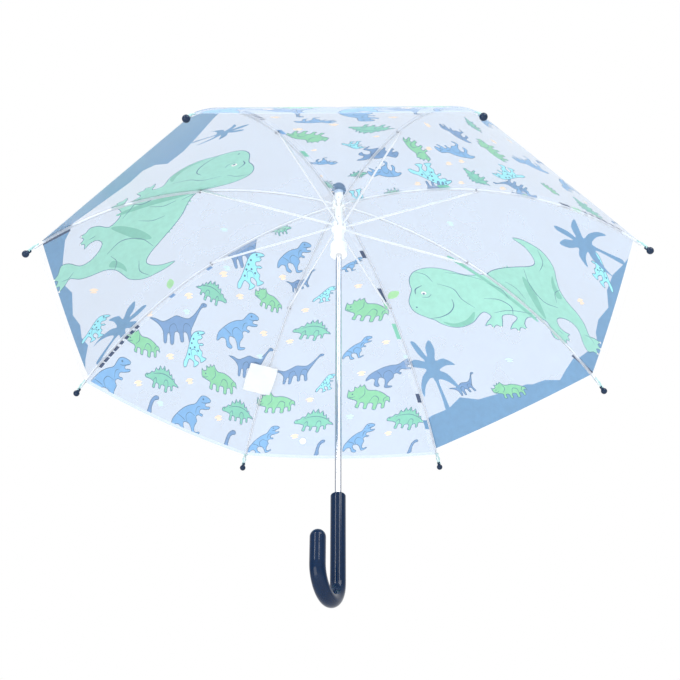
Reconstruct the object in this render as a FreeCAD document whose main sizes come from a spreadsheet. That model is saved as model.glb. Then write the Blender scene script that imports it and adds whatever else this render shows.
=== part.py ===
"""Children's dome umbrella with eight ribs, a sliding runner and a J handle.

Frame: millimetres, +Z up the shaft, origin on the shaft's axis at the middle of the grip. The
umbrella stands open. Rib 1 lies at FIRST_AZIMUTH and the others follow it anticlockwise.
"""

import FreeCAD, Part
import math
import os
import re

import Sketcher
from FreeCAD import Placement, Rotation, Vector

RIBS = 8
PITCH = 360.0 / RIBS
FIRST_AZIMUTH = 22.5
LABELLED_RIB = 3
SNAP_GORE = 2
STRAP_END = 8.0
TRIM_GAP = 0.1
EDGE_GAP = 0.25
WASHER_GAP = 0.35
RUNNING_FIT = "0.02"
BEYOND = 1.0
CAP_DOME = [(0.93, 0.4), (0.68, 0.75), (0.36, 1.0)]
X_AXIS = Vector(1, 0, 0)
Y_AXIS = Vector(0, 1, 0)
Z_AXIS = Vector(0, 0, 1)
ORIGIN = Vector(0, 0, 0)

# Driving dimensions in mm, or degrees for an angle: alias, value, what it is.
SIZES = [
    ("canopy_radius", 384.0, "shaft axis to the centre of a rib's ball tip"),
    ("canopy_rise", 203.5, "ball tips to the apex of the ribs' arc"),
    ("fold_angle", 60.0, "ribs' turn from open to closed, degrees"),
    ("closed_gap", 34.057, "grip's upper end to the runner when closed"),
    ("pivot_radius", 190.0, "shaft axis to the rivet between rib and stretcher"),
    ("pivot_drop", 0.5, "rivet below the middle of the rib's depth"),
    ("shaft_diameter", 8.0, "steel tube, outside"),
    ("shaft_wall", 0.5, "steel tube's wall"),
    ("shaft_seat", 45.0, "length of the tube inside the handle"),
    ("handle_diameter", 17.3, "grip and hook"),
    ("handle_half", 52.85, "half of the grip's straight length"),
    ("handle_round", 2.4, "rounding of the handle's upper edge"),
    ("hook_radius", 28.0, "centreline radius of the hook"),
    ("hook_leg", 28.7, "hook's short leg, above the bend's centre"),
    ("hook_azimuth", -111.6, "direction in which the hook points"),
    ("crown_hinge_inset", 3.0, "tube to the ribs' hinge wire"),
    ("crown_rim", 2.0, "hinge wire to the edge of the notched disc"),
    ("crown_half", 5.5, "half height of that disc"),
    ("crown_neck_wall", 2.0, "wall of the neck between the disc and the cap"),
    ("crown_height", 24.3, "ribs' hinge to the top of the neck"),
    ("crown_web", 2.6, "closed top of the notches"),
    ("washer_cover", 2.1, "washer past the canopy's hole"),
    ("washer_thickness", 1.2, "same"),
    ("cap_overhang", 1.0, "domed cap past the washer"),
    ("cap_skirt", 2.8, "straight side of the cap"),
    ("cap_height", 13.0, "whole cap"),
    ("cap_bore_depth", 8.0, "depth of the tube's socket in the cap"),
    ("sleeve_wall", 1.0, "wall of the stop sleeve under the crown"),
    ("sleeve_gap", 0.4, "sleeve to the runner when open"),
    ("pin_diameter", 1.8, "cross pins of crown and sleeve"),
    ("crown_pin_height", 9.5, "ribs' hinge to the crown's pin"),
    ("sleeve_pin_height", 10.0, "sleeve's lower end to its pin"),
    ("runner_hinge_inset", 3.5, "tube to the stretchers' hinge line"),
    ("runner_step", 2.15, "stretchers' hinges above the rivets when open"),
    ("runner_rim", 2.1, "hinge line to the edge of the runner's disc"),
    ("runner_half", 4.8, "half height of that disc"),
    ("keyway_wall", 1.15, "runner's tube outside its keyway"),
    ("runner_length", 52.0, "whole runner"),
    ("runner_lip_reach", 3.95, "flared lower end past the runner's tube"),
    ("runner_lip", 16.0, "straight height of the flared end"),
    ("runner_flare", 8.0, "height of the cone above it"),
    ("runner_collar", 3.0, "closed ring below the keyway"),
    ("runner_clearance", 0.08, "runner's bore to the tube, radial"),
    ("keyway_side_play", 0.5, "keyway inside the runner to the catches, each side"),
    ("keyway_play", 0.25, "keyway's floor to a catch's nose"),
    ("rib_width", 2.4, "rib's channel"),
    ("rib_depth", 2.4, "same"),
    ("rib_wall", 0.4, "same"),
    ("rib_channel_start", 15.0, "shaft axis to the channel's inner end"),
    ("rib_rod", 1.8, "diameter of the rod at the rib's outer end"),
    ("rib_rod_length", 14.0, "channel's end to the centre of the ball"),
    ("rod_lap", 2.0, "rod inside the channel's end"),
    ("tab_thickness", 1.2, "flattened ends of ribs and stretchers"),
    ("tab_length", 13.0, "hinge to the end of a rib's flat tab"),
    ("eye_wall", 0.8, "round end of a tab, outside the stretcher's hole"),
    ("eye_play", 0.1, "rib's hole to the hinge wire, radial"),
    ("stretcher_eye_play", 0.3, "same, in a stretcher, whose wire passes askew"),
    ("rivet_eye_wall", 0.45, "round outer end of a stretcher, outside the rivet"),
    ("wire_diameter", 0.8, "hinge wires"),
    ("notch_play", 0.3, "slots of crown and runner to a tab, each side"),
    ("notch_root", 1.3, "tube to the bottom of a slot"),
    ("stretcher_width", 2.0, "stretcher's channel"),
    ("stretcher_depth", 2.0, "same"),
    ("stretcher_wall", 0.4, "same"),
    ("stretcher_tab", 9.0, "hinge to the start of the stretcher's channel"),
    ("stretcher_tab_lap", 4.0, "flat tab inside the stretcher's channel"),
    ("side_gap", 0.3, "rib to stretcher, side by side"),
    ("rivet_diameter", 1.6, "rivet's shank"),
    ("rivet_clearance", 0.06, "stretcher's eye to the shank, radial"),
    ("rivet_head_lap", 0.4, "heads past the shank"),
    ("rivet_head_height", 0.6, "same"),
    ("tip_radius", 4.2, "ball on a rib's end"),
    ("tip_wall", 1.3, "wall of the ball's neck"),
    ("tip_neck_length", 7.5, "ball's centre to the neck's end"),
    ("tip_seat", 1.5, "ball's centre to the end of the rod"),
    ("film_thickness", 0.3, "canopy"),
    ("film_gap", 0.6, "canopy to the ribs' backs"),
    ("film_edge", 17.0, "ball's centre to the corner of the canopy"),
    ("film_hole_play", 0.5, "canopy's inner edge to the neck"),
    ("film_peak_radius", 26.0, "foot of the peak under the cap"),
    ("label_side", 43.0, "square care label"),
    ("label_thickness", 0.3, "same"),
    ("label_radius", 290.0, "shaft axis to the label's middle"),
    ("label_shift", 10.0, "label's middle to its rib, towards the next rib"),
    ("label_turn", 1.0, "label's turn in its own plane, degrees"),
    ("label_clearance", 1.1, "label to the canopy"),
    ("snap_diameter", 9.5, "press stud"),
    ("snap_height", 2.2, "same"),
    ("snap_back_height", 1.3, "its rivet plate inside the canopy"),
    ("snap_from_hem", 27.0, "hem to the stud"),
    ("snap_offset", 57.0, "gore's middle line to the stud"),
    ("strap_length", 92.0, "closing strap"),
    ("strap_width", 15.0, "same"),
    ("strap_thickness", 0.4, "same"),
    ("catch_thickness", 1.6, "spring catches"),
    ("catch_length", 24.0, "catch's edge to its pivot"),
    ("catch_proud", 1.6, "catch's nose past the tube"),
    ("catch_pivot_radius", 0.7, "curled end of the catch"),
    ("catch_slot_play", 0.2, "slot's side to the catch"),
    ("catch_slot_trim", 3.0, "catch's length less its slot's"),
    ("catch_slot_end", 1.0, "slot's end to the catch's square edge"),
    ("catch_depth", 1.6, "shaft axis to the catch's inner edge"),
    ("catch_bulge", 0.1, "catch's middle past the tube's inner wall"),
    ("catch_tail", 0.4, "catch's tail inside that wall"),
    ("catch_pivot_inset", 1.0, "catch's pivot inside that wall"),
    ("catch_nose", 1.2, "height of the catch's square nose"),
    ("catch_clearance", 0.2, "catch's edge to the runner that it holds"),
    ("shoulder_height", 1.6, "cones between disc and neck, of crown and runner"),
    ("crown_rounding", 0.7, "edges of the crown's disc"),
    ("runner_rounding", 0.6, "edges of the runner's disc"),
    ("lip_rounding", 1.0, "edges of the runner's flared end"),
    ("cap_rounding", 3.5, "shoulders of the dome"),
    ("trim_rounding", 0.4, "edges of sleeve, washer and cap's foot"),
]

# Values worked out from them: alias, formula over the names above.
WORKED = [
    ("crown_hinge_radius", "shaft_diameter / 2 + crown_hinge_inset"),
    ("crown_radius", "crown_hinge_radius + crown_rim"),
    ("crown_neck_radius", "shaft_diameter / 2 + crown_neck_wall"),
    ("film_top_radius", "crown_neck_radius + film_hole_play"),
    ("washer_radius", "film_top_radius + washer_cover"),
    ("cap_radius", "washer_radius + cap_overhang"),
    ("sleeve_radius", "shaft_diameter / 2 + sleeve_wall"),
    ("runner_hinge_radius", "shaft_diameter / 2 + runner_hinge_inset"),
    ("runner_radius", "runner_hinge_radius + runner_rim"),
    ("catch_reach", "shaft_diameter / 2 + catch_proud"),
    ("keyway_radius", "catch_reach + keyway_play"),
    ("keyway_width", "catch_thickness + 2 * keyway_side_play"),
    ("runner_neck_radius", "keyway_radius + keyway_wall"),
    ("runner_lip_radius", "runner_neck_radius + runner_lip_reach"),
    ("eye_hole", "wire_diameter + 2 * eye_play"),
    ("stretcher_eye_hole", "wire_diameter + 2 * stretcher_eye_play"),
    ("eye_radius", "stretcher_eye_hole / 2 + eye_wall"),
    ("notch_width", "tab_thickness + 2 * notch_play"),
    ("notch_floor", "shaft_diameter / 2 + notch_root"),
    ("rivet_eye_radius", "rivet_diameter / 2 + rivet_eye_wall"),
    ("rivet_head", "rivet_diameter + 2 * rivet_head_lap"),
    ("tip_neck", "rib_rod + 2 * tip_wall"),
    ("bow_radius", "(canopy_radius ^ 2 + canopy_rise ^ 2) / (2 * canopy_rise)"),
    ("hinge_rise", "sqrt(bow_radius ^ 2 - crown_hinge_radius ^ 2)"),
    ("pivot_rise", "sqrt((bow_radius - pivot_drop) ^ 2 - pivot_radius ^ 2)"),
    ("stretcher_run", "pivot_radius - runner_hinge_radius"),
    ("stretcher_length", "sqrt(stretcher_run ^ 2 + runner_step ^ 2)"),
    ("rib_run", "pivot_radius - crown_hinge_radius"),
    ("rib_drop", "hinge_rise - pivot_rise"),
    ("closed_run", "rib_run * cos(fold_angle) - rib_drop * sin(fold_angle)"),
    ("closed_drop", "rib_run * sin(fold_angle) + rib_drop * cos(fold_angle)"),
    ("closed_reach", "closed_run + crown_hinge_radius - runner_hinge_radius"),
    ("closed_rise", "sqrt(stretcher_length ^ 2 - closed_reach ^ 2)"),
    ("runner_travel", "runner_step + closed_drop + closed_rise - rib_drop"),
    ("closed_foot", "handle_half + closed_gap"),
    ("open_foot", "closed_foot + runner_travel"),
    ("bow_centre", "open_foot + runner_length - runner_half - runner_step - pivot_rise"),
    ("hinge_height", "bow_centre + hinge_rise"),
    ("pivot_height", "bow_centre + pivot_rise"),
    ("runner_height", "pivot_height + runner_step"),
    ("runner_top", "runner_height + runner_half"),
    ("runner_bottom", "runner_top - runner_length"),
    ("crown_bottom", "hinge_height - crown_half"),
    ("crown_top", "hinge_height + crown_height"),
    ("washer_top", "crown_top + washer_thickness"),
    ("cap_top", "washer_top + cap_height"),
    ("shaft_top", "washer_top + cap_bore_depth"),
    ("shaft_bottom", "handle_half - shaft_seat"),
    ("sleeve_bottom", "runner_top + sleeve_gap"),
    ("stretcher_offset", "(rib_width + stretcher_width) / 2 + side_gap"),
    ("stretcher_hinge_ring", "sqrt(runner_hinge_radius ^ 2 + stretcher_offset ^ 2)"),
]

doc = FreeCAD.newDocument("umbrella")
sheet = doc.addObject("Spreadsheet::Sheet", "Sizes")
for row, (alias, value, note) in enumerate(SIZES, start=1):
    sheet.set(f"A{row}", note)
    sheet.set(f"B{row}", str(value))
    sheet.setAlias(f"B{row}", alias)
doc.recompute()

worked = doc.addObject("Spreadsheet::Sheet", "Worked")
sheet_of = {alias: "Sizes" for alias, _, _ in SIZES}


def expression(text):
    """Text with each sheet name before its alias, as an expression of this document."""
    return re.sub(r"[a-z][a-z_]+", lambda m: place_of(m.group(0)), text)


def place_of(word):
    """An alias with its sheet's name, or the word itself."""
    return f"{sheet_of[word]}.{word}" if word in sheet_of else word


for row, (alias, formula) in enumerate(WORKED, start=1):
    worked.set(f"A{row}", "=" + expression(formula).replace("Worked.", ""))
    worked.setAlias(f"A{row}", alias)
    doc.recompute()
    sheet_of[alias] = "Worked"


def size(alias):
    """The number that an alias stands for."""
    value = getattr(doc.getObject(sheet_of[alias]), alias)
    return float(getattr(value, "Value", value))


def bind(thing, **formulas):
    """Ties properties to formulas. A double underscore in a name stands for a dot."""
    for name, formula in formulas.items():
        thing.setExpression(name.replace("__", "."), expression(formula))
    return thing


def primitive(kind, **formulas):
    """A Part primitive with its properties tied to formulas."""
    return bind(doc.addObject(f"Part::{kind}", kind), **formulas)


def placed(thing, base=ORIGIN, rotation=None):
    """Sets where a thing lies."""
    thing.Placement = Placement(base, rotation or Rotation())
    return thing


def cut(base, *tools):
    """Base less each tool."""
    for tool in tools:
        made = doc.addObject("Part::Cut", "Cut")
        made.Base = base
        made.Tool = tool
        base = made
    return base


def fuse(*shapes):
    """All the shapes in one solid."""
    made = doc.addObject("Part::MultiFuse", "Fuse")
    made.Shapes = list(shapes)
    made.Refine = True
    return made


def origin_feature(body, role):
    """A plane or an axis of a body's own origin."""
    return [f for f in body.Origin.OriginFeatures if f.Role == role][0]


def outline(body, role, points):
    """A closed sketch on one of a body's origin planes, each point tied to two formulas."""
    sketch = body.newObject("Sketcher::SketchObject", "Outline")
    sketch.AttachmentSupport = [(origin_feature(body, role), "")]
    sketch.MapMode = "FlatFace"
    count = len(points)
    for i in range(count):
        turn, after = 2 * math.pi * i / count, 2 * math.pi * (i + 1) / count
        start = Vector(20 + 9 * math.cos(turn), 9 * math.sin(turn), 0)
        end = Vector(20 + 9 * math.cos(after), 9 * math.sin(after), 0)
        sketch.addGeometry(Part.LineSegment(start, end), False)
    for i in range(count):
        sketch.addConstraint(Sketcher.Constraint("Coincident", i, 2, (i + 1) % count, 1))
    for i, (across, along) in enumerate(points):
        for kind, formula in (("DistanceX", across), ("DistanceY", along)):
            number = sketch.addConstraint(Sketcher.Constraint(kind, -1, 1, i, 1, 10.0 + i))
            sketch.setExpression(f"Constraints[{number}]", expression(formula))
    doc.recompute()
    return sketch


def circles_at(shape, radius, height):
    """Names of a shape's circular edges of this radius at this height."""
    found = []
    for number, edge in enumerate(shape.Edges, start=1):
        if isinstance(edge.Curve, Part.Circle):
            if abs(edge.Curve.Radius - radius) < 1e-4:
                if abs(edge.Curve.Center.z - height) < 1e-4:
                    found.append(f"Edge{number}")
    return found


def turned(points, roundings=()):
    """A body turned about Z from (radius, height) formulas. Roundings are (point, formula)."""
    body = doc.addObject("PartDesign::Body", "Body")
    sketch = outline(body, "XZ_Plane", points)
    solid = body.newObject("PartDesign::Revolution", "Revolution")
    solid.Profile = sketch
    solid.ReferenceAxis = (sketch, ["V_Axis"])
    solid.Angle = 360.0
    doc.recompute()
    corners = [g.StartPoint for g in sketch.Geometry]
    for point, formula in roundings:
        edges = circles_at(body.Shape, corners[point].x, corners[point].y)
        before = body.Tip
        made = body.newObject("PartDesign::Fillet", "Fillet")
        made.Base = (before, edges)
        bind(made, Radius=formula)
        doc.recompute()
    return body


def azimuth(number):
    """Direction of a rib, in degrees."""
    return FIRST_AZIMUTH + PITCH * (number - 1)


def about_z(degrees, base=ORIGIN):
    """A placement turned about Z, its base turned with it."""
    turn = Rotation(Z_AXIS, degrees)
    return Placement(turn.multVec(base), turn)


SHIPPED = []


def ship(thing, label):
    """Names a finished sub-part."""
    thing.Label = label
    SHIPPED.append(thing)
    return thing


# ---------------------------------------------------------------- shaft, catches, pins

def cross_hole(height):
    """Tool for a pin's hole right through the axis, along Y."""
    hole = primitive("Cylinder", Radius="pin_diameter / 2", Height="4 * crown_radius")
    placed(hole, Vector(0, 2 * size("crown_radius"), 0), Rotation(X_AXIS, 90))
    return bind(hole, Placement__Base__z=height)


def pin(height, half_length):
    """A cross pin along Y, flush with what it goes through."""
    made = primitive("Cylinder", Radius="pin_diameter / 2", Height=f"2 * {half_length}")
    placed(made, Vector(0, size(half_length), 0), Rotation(X_AXIS, 90))
    return bind(made, Placement__Base__z=height)


CROWN_PIN = "hinge_height + crown_pin_height"
SLEEVE_PIN = "sleeve_bottom + sleeve_pin_height"
TOP_CATCH = "runner_bottom - catch_clearance"
CLOSED_CATCH = "closed_foot + runner_collar + catch_clearance"
SHAFT_SLOT = "catch_length - catch_slot_trim"


def make_shaft():
    """Steel tube with a slot for each catch on its +Y side and a hole for each pin."""
    tube = primitive("Cylinder", Radius="shaft_diameter / 2", Height="shaft_top - shaft_bottom")
    bind(tube, Placement__Base__z="shaft_bottom")
    long = f"shaft_top - shaft_bottom + 2 * {BEYOND}"
    bore = primitive("Cylinder", Radius="shaft_diameter / 2 - shaft_wall", Height=long)
    bind(bore, Placement__Base__z=f"shaft_bottom - {BEYOND}")
    slots = []
    top_slot = f"{TOP_CATCH} + catch_slot_end - ({SHAFT_SLOT})"
    for height in (top_slot, f"{CLOSED_CATCH} - catch_slot_end"):
        slot = primitive(
            "Box",
            Length="catch_thickness + 2 * catch_slot_play",
            Width="shaft_diameter",
            Height=SHAFT_SLOT,
        )
        bind(slot, Placement__Base__x="-catch_thickness / 2 - catch_slot_play")
        slots.append(bind(slot, Placement__Base__z=height))
    holes = [cross_hole(CROWN_PIN), cross_hole(SLEEVE_PIN)]
    return cut(tube, bore, *slots, *holes)


def catch(label, edge, sign):
    """A flat spring in the tube's slot, its square edge at height edge and its pivot inside."""
    body = doc.addObject("PartDesign::Body", "Body")
    nose = "catch_reach"
    inner = "shaft_diameter / 2 - shaft_wall"
    lie = "+" if sign > 0 else "-"
    points = [
        ("catch_depth", edge),
        (nose, edge),
        (nose, f"{edge} {lie} catch_nose"),
        (f"{inner} + catch_bulge", f"{edge} {lie} catch_length / 2"),
        (f"{inner} - catch_tail", f"{edge} {lie} catch_length"),
        (f"{inner} - catch_depth", f"{edge} {lie} catch_length"),
    ]
    sketch = outline(body, "YZ_Plane", points)
    pad = body.newObject("PartDesign::Pad", "Pad")
    pad.Profile = sketch
    pad.Midplane = True
    bind(pad, Length="catch_thickness")
    doc.recompute()
    curl = primitive("Cylinder", Radius="catch_pivot_radius", Height="catch_thickness")
    placed(curl, Vector(-size("catch_thickness") / 2, 0, 0), Rotation(Y_AXIS, 90))
    bind(curl, Placement__Base__y=f"{inner} - catch_pivot_inset")
    bind(curl, Placement__Base__z=f"{edge} {lie} catch_length")
    return ship(fuse(body, curl), label)


ship(make_shaft(), "shaft")
catch("top_catch", TOP_CATCH, -1)
catch("bottom_catch", CLOSED_CATCH, +1)
ship(pin(CROWN_PIN, "crown_neck_radius"), "crown_pin")
ship(pin(SLEEVE_PIN, "sleeve_radius"), "sleeve_pin")


# ---------------------------------------------------------------- crown, sleeve, washer, cap

def notches(low, high, offset):
    """Tools for one slot at each rib, from a hub's slot floor outwards."""
    made = []
    for number in range(1, RIBS + 1):
        height = f"{high} - ({low})"
        slot = primitive("Box", Length="2 * crown_radius", Width="notch_width", Height=height)
        turn = Rotation(Z_AXIS, azimuth(number))
        base = Vector(size("notch_floor"), offset - size("notch_width") / 2, 0)
        placed(slot, turn.multVec(base), turn)
        made.append(bind(slot, Placement__Base__z=low))
    return made


def wire_ring(height, radius, play="0"):
    """A ring of hinge wire, or the tunnel for it."""
    ring = primitive("Torus", Radius1=radius, Radius2=f"wire_diameter / 2 + {play}")
    return bind(ring, Placement__Base__z=height)


def make_crown():
    """Disc with a slot and a wire tunnel for the ribs, and a neck up to the cap."""
    body = turned(
        [
            ("shaft_diameter / 2", "crown_bottom"),
            ("crown_radius", "crown_bottom"),
            ("crown_radius", "hinge_height + crown_half"),
            ("crown_neck_radius", "hinge_height + crown_half + shoulder_height"),
            ("crown_neck_radius", "crown_top"),
            ("shaft_diameter / 2", "crown_top"),
        ],
        [(1, "crown_rounding"), (2, "crown_rounding")],
    )
    low, high = f"crown_bottom - {BEYOND}", "hinge_height + crown_half - crown_web"
    slots = notches(low, high, 0)
    tunnel = wire_ring("hinge_height", "crown_hinge_radius", RUNNING_FIT)
    return cut(body, *slots, tunnel, cross_hole(CROWN_PIN))


ship(make_crown(), "crown")
ship(wire_ring("hinge_height", "crown_hinge_radius"), "crown_wire")

sleeve = turned(
    [
        ("shaft_diameter / 2", "sleeve_bottom"),
        ("sleeve_radius", "sleeve_bottom"),
        ("sleeve_radius", "crown_bottom"),
        ("shaft_diameter / 2", "crown_bottom"),
    ],
    [(1, "trim_rounding")],
)
ship(cut(sleeve, cross_hole(SLEEVE_PIN)), "stop_sleeve")

washer = turned(
    [
        ("shaft_diameter / 2", "crown_top"),
        ("washer_radius", "crown_top"),
        ("washer_radius", "washer_top"),
        ("shaft_diameter / 2", "washer_top"),
    ],
    [(1, "trim_rounding")],
)
ship(washer, "top_washer")

cap = turned(
    [
        ("shaft_diameter / 2", "washer_top"),
        ("cap_radius", "washer_top"),
        ("cap_radius", "washer_top + cap_skirt"),
        *(
            (f"cap_radius * {wide}", f"washer_top + cap_skirt + (cap_height - cap_skirt) * {high}")
            for wide, high in CAP_DOME
        ),
        ("0", "cap_top"),
        ("0", "shaft_top"),
        ("shaft_diameter / 2", "shaft_top"),
    ],
    [(1, "trim_rounding"), (3, "cap_rounding"), (4, "cap_rounding"), (5, "cap_rounding")],
)
ship(cap, "cap")


# ---------------------------------------------------------------- runner

def make_runner():
    """Notched disc, tube and flared lower end, bored for the tube, with an inner keyway."""
    bore = "shaft_diameter / 2 + runner_clearance"
    body = turned(
        [
            (bore, "runner_bottom"),
            ("runner_lip_radius", "runner_bottom"),
            ("runner_lip_radius", "runner_bottom + runner_lip"),
            ("runner_neck_radius", "runner_bottom + runner_lip + runner_flare"),
            ("runner_neck_radius", "runner_height - runner_half - shoulder_height"),
            ("runner_radius", "runner_height - runner_half"),
            ("runner_radius", "runner_top"),
            (bore, "runner_top"),
        ],
        [
            (1, "lip_rounding"),
            (2, "lip_rounding"),
            (3, "2 * lip_rounding"),
            (5, "runner_rounding"),
            (6, "runner_rounding"),
        ],
    )
    key = primitive("Box", Length="keyway_width", Width="keyway_radius", Height="runner_length")
    bind(key, Placement__Base__x="-keyway_width / 2")
    bind(key, Placement__Base__z="runner_bottom + runner_collar")
    low, high = "runner_height - runner_half + shoulder_height", f"runner_top + {BEYOND}"
    slots = notches(low, high, size("stretcher_offset"))
    tunnel = wire_ring("runner_height", "stretcher_hinge_ring", RUNNING_FIT)
    return cut(body, key, *slots, tunnel)


ship(make_runner(), "runner")
ship(wire_ring("runner_height", "stretcher_hinge_ring"), "runner_wire")


# ---------------------------------------------------------------- handle

def make_handle():
    """Straight grip, half-round hook and short leg with a round end, bored for the tube."""
    radius = "handle_diameter / 2"
    grip = turned(
        [
            ("0", "-handle_half"),
            (radius, "-handle_half"),
            (radius, "handle_half"),
            ("0", "handle_half"),
        ],
        [(2, "handle_round")],
    )
    bend = primitive("Torus", Radius1="hook_radius", Radius2=radius, Angle3="180")
    turn = Rotation(Z_AXIS, size("hook_azimuth"))
    middle = turn.multVec(Vector(size("hook_radius"), 0, -size("handle_half")))
    placed(bend, middle, turn.multiply(Rotation(X_AXIS, -90)))
    end = turn.multVec(Vector(2 * size("hook_radius"), 0, -size("handle_half")))
    leg = primitive("Cylinder", Radius=radius, Height="hook_leg")
    placed(leg, end)
    knob = primitive("Sphere", Radius=radius)
    placed(knob, end + Vector(0, 0, size("hook_leg")))
    socket = primitive("Cylinder", Radius="shaft_diameter / 2", Height=f"shaft_seat + {BEYOND}")
    bind(socket, Placement__Base__z="shaft_bottom")
    return cut(fuse(grip, bend, leg, knob), socket)


ship(make_handle(), "handle")


# ---------------------------------------------------------------- ribs and their rivets

def bow_point(radius, proud=0.0):
    """Point of the ribs' arc at this distance from the axis, moved outwards by proud."""
    bow, centre = size("bow_radius"), size("bow_centre")
    angle = math.asin(radius / bow)
    return Vector((bow + proud) * math.sin(angle), 0, centre + (bow + proud) * math.cos(angle))


def bow_angle(radius):
    """Slope of the ribs' arc below the horizontal at this distance, in degrees."""
    return math.degrees(math.asin(radius / size("bow_radius")))


def sector(thickness, depth, start, end, inset="0"):
    """A bar of rectangular section along the arc between two slopes, in the XZ plane."""
    whole = primitive(
        "Cylinder",
        Radius=f"bow_radius + {depth} / 2 - {inset}",
        Height=thickness,
    )
    whole.Angle = end - start
    through = f"{thickness} + 2 * {BEYOND}"
    inner = primitive("Cylinder", Radius=f"bow_radius - {depth} / 2", Height=through)
    base = Vector(0, -size_sum(thickness) / 2, size("bow_centre"))
    placed(whole, base, Rotation(Y_AXIS, start - 90).multiply(Rotation(X_AXIS, -90)))
    placed(inner, base - Y_AXIS * BEYOND, Rotation(X_AXIS, -90))
    return cut(whole, inner)


def size_sum(formula):
    """A size, or one size less twice another, written as 'one - 2 * other'."""
    words = re.findall(r"[a-z_]{2,}", formula)
    return size(words[0]) - (2 * size(words[1]) if len(words) > 1 else 0)


def across(radius_formula, height_formula, base):
    """A round bar along Y, centred on base in X and Z."""
    bar = primitive("Cylinder", Radius=radius_formula, Height=height_formula)
    return placed(bar, base, Rotation(X_AXIS, 90))


def make_rib(number):
    """Channel bent along the arc, with a flat tab and eye inside and a rod outside."""
    radius = size("canopy_radius")
    start = bow_angle(size("rib_channel_start"))
    end = bow_angle(radius) - math.degrees(size("rib_rod_length") / size("bow_radius"))
    hinge = bow_point(size("crown_hinge_radius"))
    tab_end = bow_angle(size("crown_hinge_radius") + size("tab_length"))
    channel = sector("rib_width", "rib_depth", start, end)
    hollow = sector(
        "rib_width - 2 * rib_wall",
        f"rib_depth + 2 * {BEYOND}",
        start - BEYOND,
        end + BEYOND,
        f"rib_wall + {BEYOND}",
    )
    tab = sector("tab_thickness", "rib_depth", bow_angle(size("crown_hinge_radius")), tab_end)
    half = size("tab_thickness") / 2
    eye = across("eye_radius", "tab_thickness", hinge + Vector(0, half, 0))
    through = f"tab_thickness + 2 * {BEYOND}"
    hole = across("eye_hole / 2", through, hinge + Vector(0, half + BEYOND, 0))
    pivot = Vector(size("pivot_radius"), 0, size("pivot_height"))
    side = size("rib_width") / 2
    through = f"rib_width + 2 * {BEYOND}"
    seat = across("rivet_diameter / 2", through, pivot + Vector(0, side + BEYOND, 0))
    rod = primitive("Cylinder", Radius="rib_rod / 2", Height="rib_rod_length + rod_lap - tip_seat")
    slope = bow_angle(radius)
    out = Rotation(Y_AXIS, 90 + slope)
    along = out.multVec(Z_AXIS)
    placed(rod, bow_point(radius) - along * (size("rib_rod_length") + size("rod_lap")), out)
    bar = cut(fuse(cut(channel, hollow), tab, eye, rod), hole, seat)
    bar.Placement = about_z(azimuth(number))
    return bar


def make_rivet(number):
    """Shank through rib and stretcher with a head on each side."""
    pivot = Vector(size("pivot_radius"), 0, size("pivot_height"))
    side = size("rib_width") / 2
    far = side + size("side_gap") + size("tab_thickness")
    head = size("rivet_head_height")
    play = size("rivet_clearance")
    shank = across(
        "rivet_diameter / 2",
        "rib_width + side_gap + tab_thickness + rivet_clearance",
        pivot + Vector(0, far + play, 0),
    )
    inner = across("rivet_head / 2", "rivet_head_height", pivot + Vector(0, far + play + head, 0))
    outer = across("rivet_head / 2", "rivet_head_height", pivot + Vector(0, -side, 0))
    made = fuse(shank, inner, outer)
    made.Placement = about_z(azimuth(number))
    return made


def make_tip(number):
    """Ball with a neck, bored for the rib's rod, pointing along the rib's end."""
    ball = primitive("Sphere", Radius="tip_radius")
    neck = primitive("Cylinder", Radius="tip_neck / 2", Height="tip_neck_length")
    placed(neck, Vector(0, 0, -size("tip_neck_length")))
    bore = primitive("Cylinder", Radius="rib_rod / 2", Height="tip_neck_length")
    placed(bore, Vector(0, 0, -size("tip_seat") - size("tip_neck_length")))
    made = cut(fuse(ball, neck), bore)
    out = Rotation(Y_AXIS, 90 + bow_angle(size("canopy_radius")))
    local = Placement(bow_point(size("canopy_radius")), out)
    made.Placement = about_z(azimuth(number)).multiply(local)
    return made


# ---------------------------------------------------------------- stretchers

def make_stretcher(number):
    """Straight channel beside the rib, with a flat eye at each end."""
    length, depth = "stretcher_length", "stretcher_depth"
    middle = size("stretcher_offset")
    wide = size("stretcher_width")
    near = middle - wide / 2
    thick = size("tab_thickness")
    bar = primitive("Box", Length=f"{length} - 2 * stretcher_tab", Width="stretcher_width", Height=depth)
    placed(bar, Vector(size("stretcher_tab"), near, -size(depth) / 2))
    hollow = primitive(
        "Box",
        Length=length,
        Width="stretcher_width - 2 * stretcher_wall",
        Height=depth,
    )
    placed(hollow, Vector(0, near + size("stretcher_wall"), size("stretcher_wall") - size(depth) / 2))
    pieces = [cut(bar, hollow)]
    holes = []
    ends = (
        (0.0, middle - thick / 2, "eye_radius", "stretcher_eye_hole / 2"),
        (size(length), near, "rivet_eye_radius", "rivet_diameter / 2 + rivet_clearance"),
    )
    for place, side, rim, hole in ends:
        long = "stretcher_tab + stretcher_tab_lap"
        tab = primitive("Box", Length=long, Width="tab_thickness", Height=depth)
        start = place if place == 0 else place - size("stretcher_tab") - size("stretcher_tab_lap")
        placed(tab, Vector(start, side, -size(depth) / 2))
        eye = across(rim, "tab_thickness", Vector(place, side + thick, 0))
        pieces += [tab, eye]
        through = f"tab_thickness + 2 * {BEYOND}"
        holes.append(across(hole, through, Vector(place, side + thick + BEYOND, 0)))
    made = cut(fuse(*pieces), *holes)
    rise = size("pivot_height") - size("runner_height")
    run = size("pivot_radius") - size("runner_hinge_radius")
    lie = Rotation(Y_AXIS, -math.degrees(math.atan2(rise, run)))
    local = Placement(Vector(size("runner_hinge_radius"), 0, size("runner_height")), lie)
    made.Placement = about_z(azimuth(number)).multiply(local)
    return made


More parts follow.
